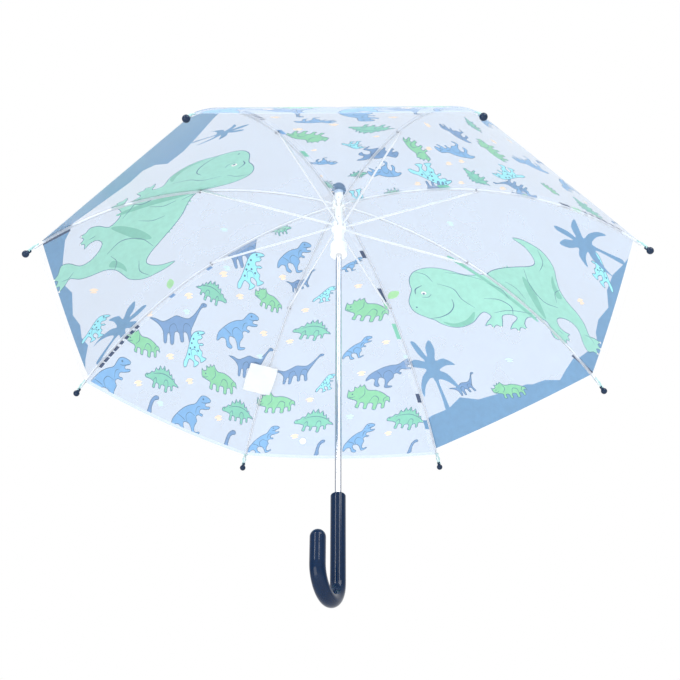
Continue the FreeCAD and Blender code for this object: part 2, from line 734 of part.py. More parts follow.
for number in range(1, RIBS + 1):
    ship(make_rib(number), f"rib_{number}")
    ship(make_rivet(number), f"rivet_{number}")
    ship(make_tip(number), f"tip_{number}")
    ship(make_stretcher(number), f"stretcher_{number}")


# ---------------------------------------------------------------- canopy

film_outside = size("rib_depth") / 2 + size("film_gap") + size("film_thickness")


def film_line(proud):
    """Arc and peak of one side of the canopy in the XZ plane, from the shaft to the hem."""
    outer = size("canopy_radius") - size("film_edge") * math.cos(
        math.radians(bow_angle(size("canopy_radius")))
    )
    foot = size("film_peak_radius")
    above = proud - film_outside
    top = Vector(size("film_top_radius"), 0, size("crown_top") - WASHER_GAP + above)
    middle = bow_point((foot + outer) / 2, proud)
    return top, bow_point(foot, proud), middle, bow_point(outer, proud)


def film_section(azimuth_angle, side):
    """Closed outline of the film's section beside a rib's plane."""
    low, high = film_line(film_outside - size("film_thickness")), film_line(film_outside)
    edges = [
        Part.LineSegment(low[0], low[1]).toShape(),
        Part.Arc(low[1], low[2], low[3]).toShape(),
        Part.LineSegment(low[3], high[3]).toShape(),
        Part.Arc(high[3], high[2], high[1]).toShape(),
        Part.LineSegment(high[1], high[0]).toShape(),
        Part.LineSegment(high[0], low[0]).toShape(),
    ]
    wire = Part.Wire(edges)
    wire.Placement = about_z(azimuth_angle, Vector(0, side * EDGE_GAP, 0))
    return wire


def gore_frame(number):
    """Mid direction of the gore between a rib and the next one, in degrees."""
    return azimuth(number) + PITCH / 2


def make_gore(number):
    """Film stretched straight from rib to rib."""
    first = film_section(azimuth(number), 1)
    second = film_section(azimuth(number + 1), -1)
    made = doc.addObject("Part::Feature", "Gore")
    made.Shape = Part.makeLoft([first, second], True, True)
    return made


for number in range(1, RIBS + 1):
    ship(make_gore(number), f"gore_{number}")


def film_seat(number, radius, proud):
    """Placement on a gore's middle line, Z along the film's outward normal, X down the slope."""
    point = bow_point(radius, proud)
    share = math.cos(math.radians(PITCH / 2))
    slope = math.degrees(math.atan(math.tan(math.radians(bow_angle(radius))) / share))
    base = Vector(point.x * share, 0, point.z)
    return about_z(gore_frame(number)).multiply(Placement(base, Rotation(Y_AXIS, slope)))


# ---------------------------------------------------------------- label, press stud, strap

label = primitive("Box", Length="label_side", Width="label_side", Height="label_thickness")
half = size("label_side") / 2
turn = math.radians(size("label_turn"))
reach = half * (math.cos(turn) + math.sin(turn))
side_reach = reach + size("label_shift")
slope = math.radians(bow_angle(size("label_radius")))
film_drop = side_reach * math.tan(math.radians(PITCH / 2)) * math.sin(slope)
bow_drop = reach ** 2 / (2 * size("bow_radius"))
under = size("rib_depth") / 2 + size("film_gap") - film_drop - bow_drop - size("label_clearance")
tilt = Rotation(Y_AXIS, bow_angle(size("label_radius")))
spin = Rotation(Z_AXIS, size("label_turn"))
corner = tilt.multiply(spin).multVec(Vector(-half, -half, -size("label_thickness")))
corner = corner + Y_AXIS * size("label_shift")
label_place = Placement(bow_point(size("label_radius"), under) + corner, tilt.multiply(spin))
label.Placement = about_z(azimuth(LABELLED_RIB)).multiply(label_place)
ship(label, "care_label")

hem_radius = film_line(0.0)[3].x
snap_radius = hem_radius - size("snap_from_hem") * math.cos(math.radians(bow_angle(hem_radius)))
seat = film_seat(SNAP_GORE, snap_radius, film_outside)
seat = seat.multiply(Placement(Vector(0, size("snap_offset"), 0), Rotation()))

strap = primitive("Box", Length="strap_width", Width="strap_length", Height="strap_thickness")
strap_start = Vector(-size("strap_width") / 2, STRAP_END - size("strap_length"), TRIM_GAP)
strap.Placement = seat.multiply(Placement(strap_start, Rotation()))
ship(strap, "closing_strap")

stud = primitive("Cylinder", Radius="snap_diameter / 2", Height="snap_height")
stud_rise = TRIM_GAP + size("strap_thickness")
stud.Placement = seat.multiply(Placement(Vector(0, 0, stud_rise), Rotation()))
ship(stud, "snap_cap")

inside = -size("film_thickness") - size("snap_back_height") - TRIM_GAP
back = primitive("Cylinder", Radius="snap_diameter / 2", Height="snap_back_height")
back.Placement = seat.multiply(Placement(Vector(0, 0, inside), Rotation()))
ship(back, "snap_back")

doc.recompute()


# ---------------------------------------------------------------- checks and export

for thing in doc.Objects:
    if "Invalid" in thing.State or "Error" in thing.State:
        raise RuntimeError(f"{thing.Name} ({thing.Label}) failed: {thing.State}")
for thing in SHIPPED:
    if thing.Shape.isNull() or not thing.Shape.isValid():
        raise RuntimeError(f"{thing.Label} has no valid shape")

os.makedirs("parts", exist_ok=True)
for thing in SHIPPED:
    thing.Shape.exportStep(f"parts/{thing.Label}.step")
print(f"{len(SHIPPED)} sub-parts")
print(f"runner travel {size('runner_travel'):.3f} mm")
print(f"centre of the ribs' arc at {size('bow_centre'):.4f} mm")
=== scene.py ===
"""A child's clear dome umbrella with printed panels, drawn in metres around its own frame."""

import math

import bmesh
import bpy
import numpy as np
from mathutils import Matrix, Vector
from mathutils.geometry import delaunay_2d_cdt


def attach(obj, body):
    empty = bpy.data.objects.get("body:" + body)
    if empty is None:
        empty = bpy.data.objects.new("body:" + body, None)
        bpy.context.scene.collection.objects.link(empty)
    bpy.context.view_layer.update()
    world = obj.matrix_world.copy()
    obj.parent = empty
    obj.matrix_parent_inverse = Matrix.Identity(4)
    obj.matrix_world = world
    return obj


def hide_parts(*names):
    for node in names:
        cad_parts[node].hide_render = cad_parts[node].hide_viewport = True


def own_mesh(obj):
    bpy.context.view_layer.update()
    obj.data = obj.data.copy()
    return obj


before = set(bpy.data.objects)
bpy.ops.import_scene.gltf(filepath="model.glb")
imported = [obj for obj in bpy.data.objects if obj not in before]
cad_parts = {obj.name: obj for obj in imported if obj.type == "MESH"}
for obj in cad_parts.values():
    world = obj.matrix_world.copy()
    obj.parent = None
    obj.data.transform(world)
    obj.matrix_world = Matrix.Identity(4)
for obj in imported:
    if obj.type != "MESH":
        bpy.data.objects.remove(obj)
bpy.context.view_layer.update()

MM = 0.001
RIBS = 8
HALF_PITCH = math.pi / RIBS

# ---------------------------------------------------------------- the canopy's own shape

CANOPY_RADIUS = 0.384
BOW_RADIUS = 0.46404975
BOW_CENTRE = 0.02310025
FILM_PROUD = 0.00195
FILM_TOP = (0.0065, 0.510897)
PEAK_FOOT = 0.026
CORNER_BACK = 0.017
HEM_BULGE = {"scene": 0.0025, "pattern": 0.006}
HEM_BAND = 0.009
FILM_STEP = 0.0075


def film_profile():
    """Arc length, distance from the shaft and height along the film beside a rib: a straight
    peak from the cap to PEAK_FOOT, then a circle of the ribs' radius plus FILM_PROUD."""
    radius = BOW_RADIUS + FILM_PROUD
    start = math.asin(PEAK_FOOT / radius)
    corner = CANOPY_RADIUS - CORNER_BACK * math.cos(math.asin(CANOPY_RADIUS / BOW_RADIUS))
    stop = math.asin(corner / radius) + 0.03
    turn = np.linspace(start, stop, 300)
    arc = np.stack([radius * np.sin(turn), BOW_CENTRE + radius * np.cos(turn)], 1)
    share = np.linspace(0, 1, 12)[:-1, None]
    line = np.array(FILM_TOP) + (arc[0] - np.array(FILM_TOP)) * share
    points = np.vstack([line, arc])
    along = np.concatenate([[0], np.cumsum(np.linalg.norm(np.diff(points, axis=0), axis=1))])
    return along, points[:, 0], points[:, 1], float(np.interp(corner, points[:, 0], along))


ALONG, OUT, UP, HEM = film_profile()


def chord(along):
    """Straight distance from rib to rib at an arc length: twice the radius times the sine of half
    the pitch."""
    return 2 * np.interp(along, ALONG, OUT) * math.sin(HALF_PITCH)


def hem_at(across, width, bulge):
    """Arc length of the hem: a parabola that stands past the corners by bulge at mid gore."""
    return HEM + bulge * (1 - (2 * across / width) ** 2)


def on_gore(number, across, along, lift=0.0):
    """Points on a gore: a straight chord between two ribs' profiles, at an offset across it from
    its middle, raised along the local normal by lift."""
    out = np.interp(along, ALONG, OUT) * math.cos(HALF_PITCH)
    up = np.interp(along, ALONG, UP)
    step = 0.002
    d_out = np.interp(along + step, ALONG, OUT) - np.interp(along - step, ALONG, OUT)
    d_out = d_out * math.cos(HALF_PITCH)
    d_up = np.interp(along + step, ALONG, UP) - np.interp(along - step, ALONG, UP)
    size = np.hypot(d_out, d_up)
    out = out - d_up / size * lift
    up = up + d_out / size * lift
    turn = 2 * HALF_PITCH * number
    return np.stack(
        [
            out * math.cos(turn) - across * math.sin(turn),
            out * math.sin(turn) + across * math.cos(turn),
            up,
        ],
        -1,
    )


# ---------------------------------------------------------------- finishes


def linear(*rgb):
    """A colour given in display values of 0 to 255, as scene-linear numbers."""
    c = np.array(rgb, float) / 255
    return tuple(np.where(c <= 0.04045, c / 12.92, ((c + 0.055) / 1.055) ** 2.4)) + (1.0,)


def finish_of(
    name, colour, rough, metal=0.0, grain=400.0, spread=0.06, bump=0.05, stretch=(1, 1, 1),
    alpha=1.0, sheen=0.0, depth=0.0002, gloss=0.5, glow=0.0,
):
    """A material whose colour, roughness and relief vary with noise on Object coordinates."""
    made = bpy.data.materials.new(name)
    made.use_nodes = True
    nodes, links = made.node_tree.nodes, made.node_tree.links
    shader = nodes["Principled BSDF"]
    shader.inputs["Metallic"].default_value = metal
    shader.inputs["Alpha"].default_value = alpha
    shader.inputs["Specular IOR Level"].default_value = gloss
    shader.inputs["Emission Color"].default_value = colour
    shader.inputs["Emission Strength"].default_value = glow
    shader.inputs["Sheen Weight"].default_value = sheen
    where = nodes.new("ShaderNodeTexCoord")
    mapping = nodes.new("ShaderNodeMapping")
    mapping.inputs["Scale"].default_value = stretch
    noise = nodes.new("ShaderNodeTexNoise")
    noise.inputs["Scale"].default_value = grain
    noise.inputs["Detail"].default_value = 4.0
    links.new(where.outputs["Object"], mapping.inputs["Vector"])
    links.new(mapping.outputs["Vector"], noise.inputs["Vector"])
    ramp = nodes.new("ShaderNodeValToRGB")
    ramp.color_ramp.elements[0].position = 0.3
    ramp.color_ramp.elements[1].position = 0.7
    low = tuple(v * (1 - spread) for v in colour[:3]) + (1.0,)
    high = tuple(min(1.0, v * (1 + spread)) for v in colour[:3]) + (1.0,)
    ramp.color_ramp.elements[0].color = low
    ramp.color_ramp.elements[1].color = high
    links.new(noise.outputs["Fac"], ramp.inputs["Fac"])
    links.new(ramp.outputs["Color"], shader.inputs["Base Color"])
    span = nodes.new("ShaderNodeMapRange")
    span.inputs["To Min"].default_value = max(0.02, rough - 0.05)
    span.inputs["To Max"].default_value = rough + 0.05
    links.new(noise.outputs["Fac"], span.inputs["Value"])
    links.new(span.outputs["Result"], shader.inputs["Roughness"])
    relief = nodes.new("ShaderNodeBump")
    relief.inputs["Strength"].default_value = bump
    relief.inputs["Distance"].default_value = depth
    links.new(noise.outputs["Fac"], relief.inputs["Height"])
    links.new(relief.outputs["Normal"], shader.inputs["Normal"])
    return made


FILM_ALPHA = 0.42
INK_ALPHA = 0.93
STEEL = finish_of(
    "drawn_steel", linear(214, 216, 220), 0.14, metal=1.0, grain=60, stretch=(14, 14, 1), spread=0.04
)
SPRING = finish_of(
    "spring_steel", linear(178, 180, 184), 0.3, metal=1.0, grain=300, stretch=(1, 1, 0.1)
)
ZINC = finish_of("enamelled_channel", linear(222, 226, 232), 0.34, grain=200, spread=0.02, bump=0.02)
RIVET = finish_of("rivet_metal", linear(150, 152, 158), 0.35, metal=1.0, grain=900)
# White nylon with a painted glow: a small emission makes it brighter than the lamps alone would light
# it.
WHITE_PAINTED_GLOW = finish_of(
    "white_nylon_painted_glow", linear(244, 246, 246), 0.38, grain=250, spread=0.02, bump=0.03, glow=0.04
)
NAVY = finish_of("navy_plastic", linear(12, 38, 66), 0.3, grain=350, spread=0.12, gloss=0.3)
GRIP = finish_of(
    "navy_grip", linear(2, 30, 60), 0.1, grain=300, spread=0.08, bump=0.005, gloss=0.24
)
CLOTH = finish_of(
    "label_weave", linear(226, 230, 232), 0.85, grain=1500, spread=0.03, bump=0.3, sheen=0.2
)
TAB = finish_of("corner_tab", linear(170, 214, 214), 0.25, grain=300, alpha=0.8)
FILM = finish_of(
    "clear_film", linear(148, 184, 224), 0.22, grain=24, spread=0.05, bump=0.06,
    alpha=FILM_ALPHA, depth=0.001,
)
DOUBLE = finish_of(
    "double_film", linear(226, 236, 248), 0.2, grain=60, spread=0.05, bump=0.2, alpha=0.22,
    depth=0.0008,
)
HEM_FOLD = finish_of(
    "hem_fold", linear(184, 214, 246), 0.18, grain=60, spread=0.04, bump=0.15, alpha=0.5
)
CLEAR_BAND = finish_of(
    "clear_band", linear(240, 246, 252), 0.14, grain=40, spread=0.03, bump=0.1, alpha=0.16
)


def ink(name, *rgb, alpha=INK_ALPHA):
    """A printed colour on the film: even, slightly mottled, with the film's own gloss."""
    return finish_of(name, linear(*rgb), 0.3, grain=120, spread=0.05, bump=0.08, alpha=alpha)


INKS = {
    "film": FILM,
    "double": DOUBLE,
    "double_hem": HEM_FOLD,
    "band": CLEAR_BAND,
    "line": ink("ink_line", 62, 104, 138),
    "slate": ink("ink_slate", 108, 148, 194),
    "blue": ink("ink_blue", 118, 172, 220),
    "cyan": ink("ink_cyan", 150, 230, 242),
    "teal": ink("ink_teal", 124, 200, 176),
    "green": ink("ink_green", 130, 204, 160),
    "mint": ink("ink_mint", 152, 214, 198),
    "shade": ink("ink_shade", 120, 190, 172),
    "hill": ink("ink_hill", 100, 148, 188),
    "orange": ink("ink_orange", 252, 224, 196, alpha=0.8),
    "faint": ink("ink_faint", 190, 232, 244, alpha=0.7),
    "navy": ink("ink_navy", 40, 66, 104),
    "fern": ink("ink_fern", 160, 218, 160),
}
INK_NAMES = list(INKS)

# ---------------------------------------------------------------- the printed pattern

# Outlines of the small animals and plants, from the tail at 0 to the nose at 1, y upwards.
SHAPES = {
    "longneck": [
        (0, .16), (.1, .15), (.22, .1), (.34, .13), (.46, .17), (.56, .14), (.66, .12), (.76, .17),
        (.86, .26), (.93, .33), (1, .31), (.99, .27), (.92, .26), (.86, .2), (.79, .1), (.72, 0),
        (.68, -.08), (.69, -.22), (.63, -.23), (.61, -.1), (.55, -.08), (.54, -.2), (.48, -.2),
        (.47, -.08), (.4, -.07), (.36, -.22), (.3, -.22), (.31, -.08), (.27, -.09), (.24, -.2),
        (.19, -.19), (.2, -.04), (.14, .06), (.06, .12),
    ],
    "rex": [
        (0, -.1), (.06, .02), (.18, .1), (.34, .17), (.5, .2), (.64, .2), (.74, .27), (.82, .31),
        (.92, .28), (1, .2), (.97, .15), (.88, .15), (.86, .11), (.95, .08), (.93, .04), (.82, .05),
        (.74, .07), (.7, .02), (.76, -.02), (.73, -.06), (.66, -.02), (.6, -.04), (.6, -.12),
        (.52, -.2), (.5, -.29), (.6, -.31), (.58, -.35), (.44, -.34), (.43, -.22), (.4, -.12),
        (.3, -.08), (.28, -.18), (.33, -.27), (.28, -.3), (.2, -.24), (.2, -.12), (.12, -.08),
        (.04, -.12),
    ],
    "raptor": [
        (0, -.272), (.05, -.15), (.16, -.068), (.26, .0272), (.36, .136), (.46, .245), (.56, .34),
        (.68, .408), (.84, .394), (.98, .326), (1, .258), (.86, .245), (.9, .204), (.82, .163),
        (.72, .177), (.7, .0952), (.8, .068), (.84, 0), (.76, 0), (.7, .0272), (.68, -.0544),
        (.72, -.15), (.66, -.245), (.76, -.34), (.7, -.381), (.54, -.381), (.56, -.272),
        (.5, -.163), (.44, -.15), (.42, -.245), (.5, -.354), (.4, -.408), (.28, -.394),
        (.34, -.286), (.26, -.163), (.16, -.231), (.08, -.299),
    ],
    "horned": [
        (0, -.06), (.04, .06), (.12, .1), (.24, .16), (.4, .2), (.56, .19), (.64, .24), (.7, .31),
        (.75, .25), (.79, .3), (.82, .22), (.9, .24), (.88, .15), (.95, .12), (1, .16), (.99, .05),
        (.96, -.03), (.86, -.06), (.76, -.08), (.72, -.12), (.73, -.22), (.64, -.24), (.64, -.12),
        (.56, -.13), (.54, -.24), (.46, -.24), (.46, -.12), (.36, -.12), (.34, -.24), (.25, -.24),
        (.25, -.12), (.18, -.1), (.15, -.2), (.08, -.18), (.1, -.04), (.06, -.02),
    ],
    "plated": [
        (0, -.04), (.06, .02), (.13, .05), (.17, .14), (.21, .11), (.26, .22), (.31, .18),
        (.37, .31), (.43, .24), (.5, .35), (.55, .25), (.62, .32), (.66, .2), (.73, .24),
        (.76, .12), (.83, .12), (.88, .05), (.96, .03), (1, -.03), (.97, -.08), (.88, -.08),
        (.8, -.09), (.74, -.12), (.75, -.24), (.67, -.25), (.66, -.13), (.58, -.14), (.57, -.22),
        (.51, -.22), (.5, -.13), (.4, -.13), (.39, -.25), (.31, -.25), (.31, -.12), (.24, -.09),
        (.22, -.17), (.16, -.16), (.17, -.05), (.08, -.04),
    ],
    "neck": [
        (0, -.25), (.2, -.05), (.4, .15), (.6, .3), (.85, .35), (1, .25), (.95, .12), (.75, .15),
        (.6, .08), (.42, -.1), (.3, -.3),
    ],
    "blob": [
        (0, .05), (.25, .25), (.6, .28), (1, .1), (.75, -.05), (.95, -.2), (.6, -.3), (.2, -.22),
        (.35, -.05),
    ],
    "leaf": [(0, 0), (.3, .25), (.7, .3), (1, 0), (.7, -.2), (.3, -.22)],
    "palm": [
        (0, -0.026), (.2, -0.02), (.42, -0.02), (.4, -0.11), (.3, -0.2), (.2, -0.24), (.34, -0.22),
        (.5, -0.15), (.56, -0.079), (.62, -0.18), (.62, -0.28), (.72, -0.18), (.7, -0.079),
        (.86, -0.13), (1, -0.12), (.9, -0.04), (.76, -0.0066), (.98, 0.04), (1, 0.092),
        (.82, 0.079), (.7, 0.04), (.74, 0.15), (.66, 0.26), (.62, 0.16), (.58, 0.066), (.48, 0.15),
        (.32, 0.22), (.2, 0.22), (.36, 0.15), (.46, 0.033), (.2, 0.02), (0, 0.026),
    ],
}
# Kind of print: its outline, its ink, whether it has a dark edge, and marks inside it.
KINDS = {
    "longneck": ("longneck", "slate", True, [(.945, .3, .012)]),
    "rex": ("rex", "blue", True, [(.84, .24, .02)]),
    "slaterex": ("rex", "slate", True, [(.84, .24, .02)]),
    "raptor": (
        "raptor",
        "cyan",
        True,
        [
            (.8, .34, .03), (.4, .08, .03), (.5, .18, .03), (.54, .05, .03), (.3, -.05, .03),
            (.6, -.07, .03), (.6, .26, .03),
        ],
    ),
    "horned": ("horned", "green", True, [(.88, .06, .018)]),
    "plated": ("plated", "teal", True, [(.93, 0, .015)]),
    "neck": ("neck", "slate", True, []),
    "blob": ("blob", "orange", False, []),
    "mark": ("blob", "faint", False, []),
    "leafchip": ("leaf", "fern", False, []),
    "palm": ("palm", "hill", False, []),
}
# Fine drawn lines inside an animal, in its outline's own units.
STROKES = {
    "longneck": [
        [(.3, -.1), (.33, .02), (.42, .05), (.46, -.08)],
        [(.54, -.08), (.58, .04), (.66, .03), (.7, -.06)],
    ],
    "rex": [
        [(.38, -.12), (.38, .02), (.48, .07), (.58, -.02)],
        [(.97, .16), (.84, .17), (.78, .2)],
        [(.2, .1), (.3, 0), (.34, -.06)],
        [(.6, .02), (.66, .12), (.74, .13)],
    ],
    "raptor": [[(.36, -.14), (.4, .02), (.52, 0), (.56, -.14)], [(.98, .27), (.84, .28), (.76, .3)]],
    "horned": [
        [(.66, .22), (.62, .08), (.7, -.04)],
        [(.26, -.12), (.28, .02), (.4, .06), (.46, -.1)],
        [(.94, 0), (.88, -.02), (.8, .02)],
        [(.1, .09), (.16, .02), (.14, -.06)],
    ],
    "plated": [
        [(.1, .03), (.26, .11), (.45, .15), (.65, .12), (.8, .05)],
        [(.3, -.12), (.34, .02), (.42, .02), (.44, -.1)],
        [(.64, -.12), (.68, 0), (.75, -.08)],
        [(.31, .17), (.34, .26)],
        [(.48, .22), (.5, .3)],
        [(.62, .2), (.63, .28)],
    ],
}
# The two ribs in the middle of the pattern panels. A SHARED print is on the panel of the first
# and, mirrored, on that of the second.
SHARED = (3, 7)
# Each print: the rib in the middle of its panel, its kind, its middle (across from that rib, along
# from the cap) and its run from tail to nose, in millimetres.
PRINTS = [
    (3, "longneck", 102, 157, -59, -66),
    (3, "rex", 24, 125, -50, -47),
    (3, "plated", 63, 96, -26, -25),
    (3, "raptor", 82, 181, -45, -42),
    (3, "plated", 130, 241, -55, -2),
    (3, "horned", 38, 208, 53, 2),
    (3, "longneck", -2, 159, -41, -28),
    (3, "raptor", -44, 178, -33, -6),
    (3, "rex", -63, 125, -29, -17),
    (SHARED, "longneck", 163, 309, -88, -44),
    (SHARED, "rex", 70, 273, -69, -40),
    (3, "plated", -46, 241, 58, -6),
    (3, "horned", -114, 207, 69, -8),
    (SHARED, "horned", 212, 356, 57, 6),
    (3, "raptor", 131, 329, -39, -38),
    (SHARED, "longneck", 31, 310, -75, -30),
    (SHARED, "rex", 249, 422, -67, -46),
    (SHARED, "plated", 169, 390, 58, 4),
    (SHARED, "horned", 77, 354, 65, 8),
    (3, "longneck", -46, 309, -69, -17),
    (3, "raptor", -92, 327, -30, -11),
    (3, "rex", -122, 271, -40, -25),
    (3, "slaterex", -182, 311, -67, -9),
    (3, "horned", -26, 359, 60, 0),
    (3, "horned", -162, 351, 68, -6),
    (SHARED, "rex", 108, 419, -67, -40),
    (SHARED, "plated", 31, 385, 58, 6),
    (3, "plated", -91, 388, 60, -4),
    (SHARED, "plated", -228, 385, 59, -6),
    (SHARED, "neck", 175, 429, -23, -19),
    (SHARED, "neck", 35, 429, -26, -21),
    (SHARED, "neck", -108, 429, -19, -17),
    (SHARED, "neck", -247, 427, -18, -13),
    (SHARED, "rex", -23, 418, -47, -27),
    (SHARED, "rex", -165, 415, -47, -28),
    (SHARED, "blob", 122, 206, -12, -8),
    (SHARED, "blob", 164, 261, -12, -8),
    (SHARED, "blob", 85, 224, -12, -7),
    (3, "blob", -24, 205, -12, -2),
    (SHARED, "blob", -18, 258, -12, -2),
    (SHARED, "blob", 27, 257, -12, -7),
    (SHARED, "blob", 166, 354, -12, -7),
    (SHARED, "blob", 205, 409, -12, -7),
    (SHARED, "blob", 125, 374, -12, -7),
    (SHARED, "blob", 62, 405, -12, -7),
    (SHARED, "blob", -75, 353, -12, -2),
    (SHARED, "blob", -67, 410, -12, -2),
    (3, "blob", -160, 260, -12, -2),
    (3, "blob", -140, 311, -13, -2),
    (SHARED, "blob", -206, 406, -11, -2),
    (3, "blob", -86, 163, -12, -2),
    (SHARED, "blob", 216, 312, -11, -8),
    (3, "blob", 30, 163, -11, -8),
    (3, "mark", 120, 195, -11, -6),
    (3, "mark", 160, 284, -11, -5),
    (3, "mark", -142, 380, -12, 0),
    (3, "mark", 21, 292, -11, -5),
    (3, "mark", -197, 284, -10, 2),
    (3, "mark", 163, 422, -11, -4),
    (7, "horned", -102, 181, 59, -18),
    (7, "plated", -35, 208, -58, 6),
    (7, "rex", -112, 241, 47, 13),
    (7, "raptor", -36, 151, 30, 6),
    (7, "slaterex", 2, 134, 22, 58),
    (7, "rex", -56, 104, 33, 9),
    (7, "rex", 28, 108, -49, -25),
    (7, "plated", -1, 75, 23, 17),
    (7, "raptor", 82, 159, 28, 55),
    (7, "longneck", 103, 142, -37, -49),
    (7, "horned", 39, 191, 53, -2),
    (7, "rex", 73, 247, -54, -31),
    (7, "plated", 129, 224, -48, -6),
    (7, "longneck", 168, 272, -55, -29),
    (7, "raptor", 144, 290, -41, -36),
    (7, "horned", 94, 321, -54, 8),
    (7, "rex", 122, 379, -42, -45),
    (7, "plated", 40, 353, -35, 6),
    (7, "slaterex", 48, 291, -48, 0),
    (7, "plated", 60, 82, -20, -27),
    (7, "raptor", 24, 32, 26, 40),
    (7, "horned", 185, 343, 31, 9),
    (7, "rex", 188, 262, -32, -49),
    (7, "plated", -31, 48, 20, -19),
    (7, "blob", -18, 179, 9, 0),
    (7, "blob", -80, 137, 8, 0),
    (7, "blob", 49, 209, 6, 11),
    (7, "blob", 123, 189, 7, 9),
    (7, "blob", 93, 234, 5, 11),
    (7, "blob", -49, 68, 7, -9),
    (7, "blob", -20, 30, 8, 2),
    (7, "blob", 166, 243, 5, 13),
    (7, "blob", 79, 127, 8, 9),
    (7, "blob", 86, 209, 6, 11),
    (1, "longneck", 170, 366, -51, 2),
    (1, "horned", 118, 400, 48, -17),
    (1, "raptor", -184, 398, 5, -51),
    (5, "raptor", -202, 396, -8, -51),
    (1, "blob", -101, 381, -12, 8),
    (1, "mark", 85, 360, -10, 6),
    (5, "blob", -129, 382, -8, -12),
    (5, "mark", -79, 174, -1, -12),
    (5, "blob", -130, 381, -8, -12),
    (1, "mark", -54, 168, -7, 10),
    (1, "leafchip", 123, 186, -22, -2),
    (5, "leafchip", -174, 268, 20, -4),
    (1, "palm", 195, 328, -53, -116),
    (1, "palm", -203, 374, 59, -102),
    (5, "palm", -233, 363, 73, -91),
    (5, "palm", 158, 289, 8, -68),
    (7, "leafchip", 192, 269, 6, 9),
]
HILLS = {
    1: [
        (-271.6, 437.1), (-227.6, 425.7), (-197.8, 416.2), (-165.1, 414.3), (-141.4, 423.8),
        (-103.9, 414.3), (-78.2, 416.2), (-62.1, 423.8), (-24.3, 410.5), (7.4, 399.1),
        (27.2, 408.6), (44.6, 418.1), (63.5, 408.6), (82.9, 406.7), (89.8, 402.9), (123.4, 399.1),
        (168.5, 391.5), (190.4, 376.3), (219.3, 383.9), (251.6, 382), (262, 384),
    ],
    5: [
        (225, 345), (213.1, 342.2), (170.6, 328.9), (132.9, 319.4), (105.2, 321), (117.4, 347.9),
        (113.2, 363), (83.5, 359.3), (-7.3, 387.7), (-19.3, 399.1), (-48.6, 410.5), (-83.6, 421.9),
        (-111.2, 412.4), (-150.2, 421.9), (-176.4, 416.2), (-200.7, 420), (-223.1, 414.3),
        (-247.8, 425.7), (-283.4, 435.2),
    ],
}
# The large reptile of the scene panels: its outline, shaded patches, drawn lines with their half
# width and round marks, in millimetres across from the middle rib and along from the cap.
LARGE_OUTLINE = [
    (128, 232), (127, 220), (119, 208), (108, 200), (97, 193), (90, 184), (80, 175), (66, 170),
    (52, 173), (40, 182), (30, 198), (22, 215), (6, 228), (-14, 238), (-34, 253), (-56, 273),
    (-76, 292), (-90, 300), (-99, 294), (-104, 280), (-102.7, 260.6), (-112, 272), (-119, 290),
    (-122, 310), (-113, 329), (-96, 338), (-84, 346), (-77, 360), (-75, 380), (-70, 396),
    (-60, 408), (-66, 417), (-71, 429), (-62, 425), (-60, 433), (-52, 425), (-46, 431), (-41, 422),
    (-30, 414), (-34, 402), (-47, 390), (-48, 376), (-40, 362), (-28, 353), (-19, 358), (-19, 368),
    (-24, 378), (-16, 376), (-13, 383), (-7, 375), (0, 379), (2, 370), (7, 362), (4, 350),
    (-4, 338), (4, 324), (14, 318), (24, 324), (28, 333), (33, 326), (40, 331), (40, 323),
    (47, 321), (38, 315), (26, 311), (28, 303), (38, 298), (46, 306), (54, 313), (57, 306),
    (65, 308), (63, 301), (71, 299), (62, 294), (52, 290), (54, 280), (64, 281), (80, 286),
    (98, 284), (110, 276), (117, 264), (119, 254), (123, 246),
]
LARGE_PATCHES = [
    [(-48, 286), (-28, 298), (-10, 322), (-8, 336), (-26, 322), (-44, 304)],
    [(64, 272), (84, 277), (102, 273), (112, 262), (108, 276), (96, 283), (78, 284)],
    [(-96, 330), (-84, 338), (-74, 352), (-66, 344), (-80, 332)],
]
LARGE_LINES = [
    ([(122, 248), (108, 254), (92, 255), (78, 249), (70, 238)], 0.7),
    ([(80, 196), (92, 196), (100, 203)], 0.8),
    ([(84, 216), (92, 217), (98, 212)], 0.4),
    ([(66, 170), (60, 184), (64, 200)], 0.45),
    ([(62, 206), (54, 226), (60, 246), (58, 268)], 0.5),
    ([(-64, 286), (-44, 300), (-36, 326), (-50, 350)], 0.6),
    ([(-84, 346), (-70, 340), (-56, 346)], 0.45),
    ([(-119, 300), (-104, 312), (-84, 310)], 0.5),
    ([(36, 262), (22, 274), (18, 292), (26, 304)], 0.55),
    ([(44, 288), (24, 296), (2, 318)], 0.45),
    ([(12, 244), (6, 262), (10, 280)], 0.4),
    ([(-12, 262), (-16, 280), (-10, 298)], 0.4),
    ([(38, 196), (24, 214), (12, 236)], 0.4),
    ([(-52, 400), (-58, 410), (-56, 420)], 0.4),
    ([(-10, 358), (-12, 368)], 0.4),
]
LARGE_DOTS = [
    ((90, 208), 3.4, "band"),
    ((91, 209), 1.7, "line"),
    ((119, 222), 1.3, "line"),
    ((-70, 427.5), 1.5, "band"),
    ((-60, 431), 1.5, "band"),
    ((-46.5, 429), 1.5, "band"),
    ((-13, 381), 1.2, "band"),
    ((-1, 377), 1.2, "band"),
    ((28, 331.5), 1.1, "band"),
    ((39.5, 329), 1.1, "band"),
    ((54, 311.5), 1.1, "band"),
    ((64.5, 306.5), 1.1, "band"),
]
# Its back spines: from, to, how many, and their height.
LARGE_SPINES = ((12, 225), (-46, 264), 10, 4.0)
# Where it lies beside a panel's middle rib: shift across, start along, stretch along.
LARGE_PLACES = {1: (0.0, 170.0, 1.0), 5: (-26.0, 157.0, 1.06)}
# The darker fold that the middle seam makes in it.
LARGE_FOLDS = {
    1: [(8, 182), (13, 186), (11, 250), (9, 322), (5, 322), (7, 250)],
    5: [(-17, 312), (-12, 312), (0, 210), (-4, 208), (-12, 250)],
}
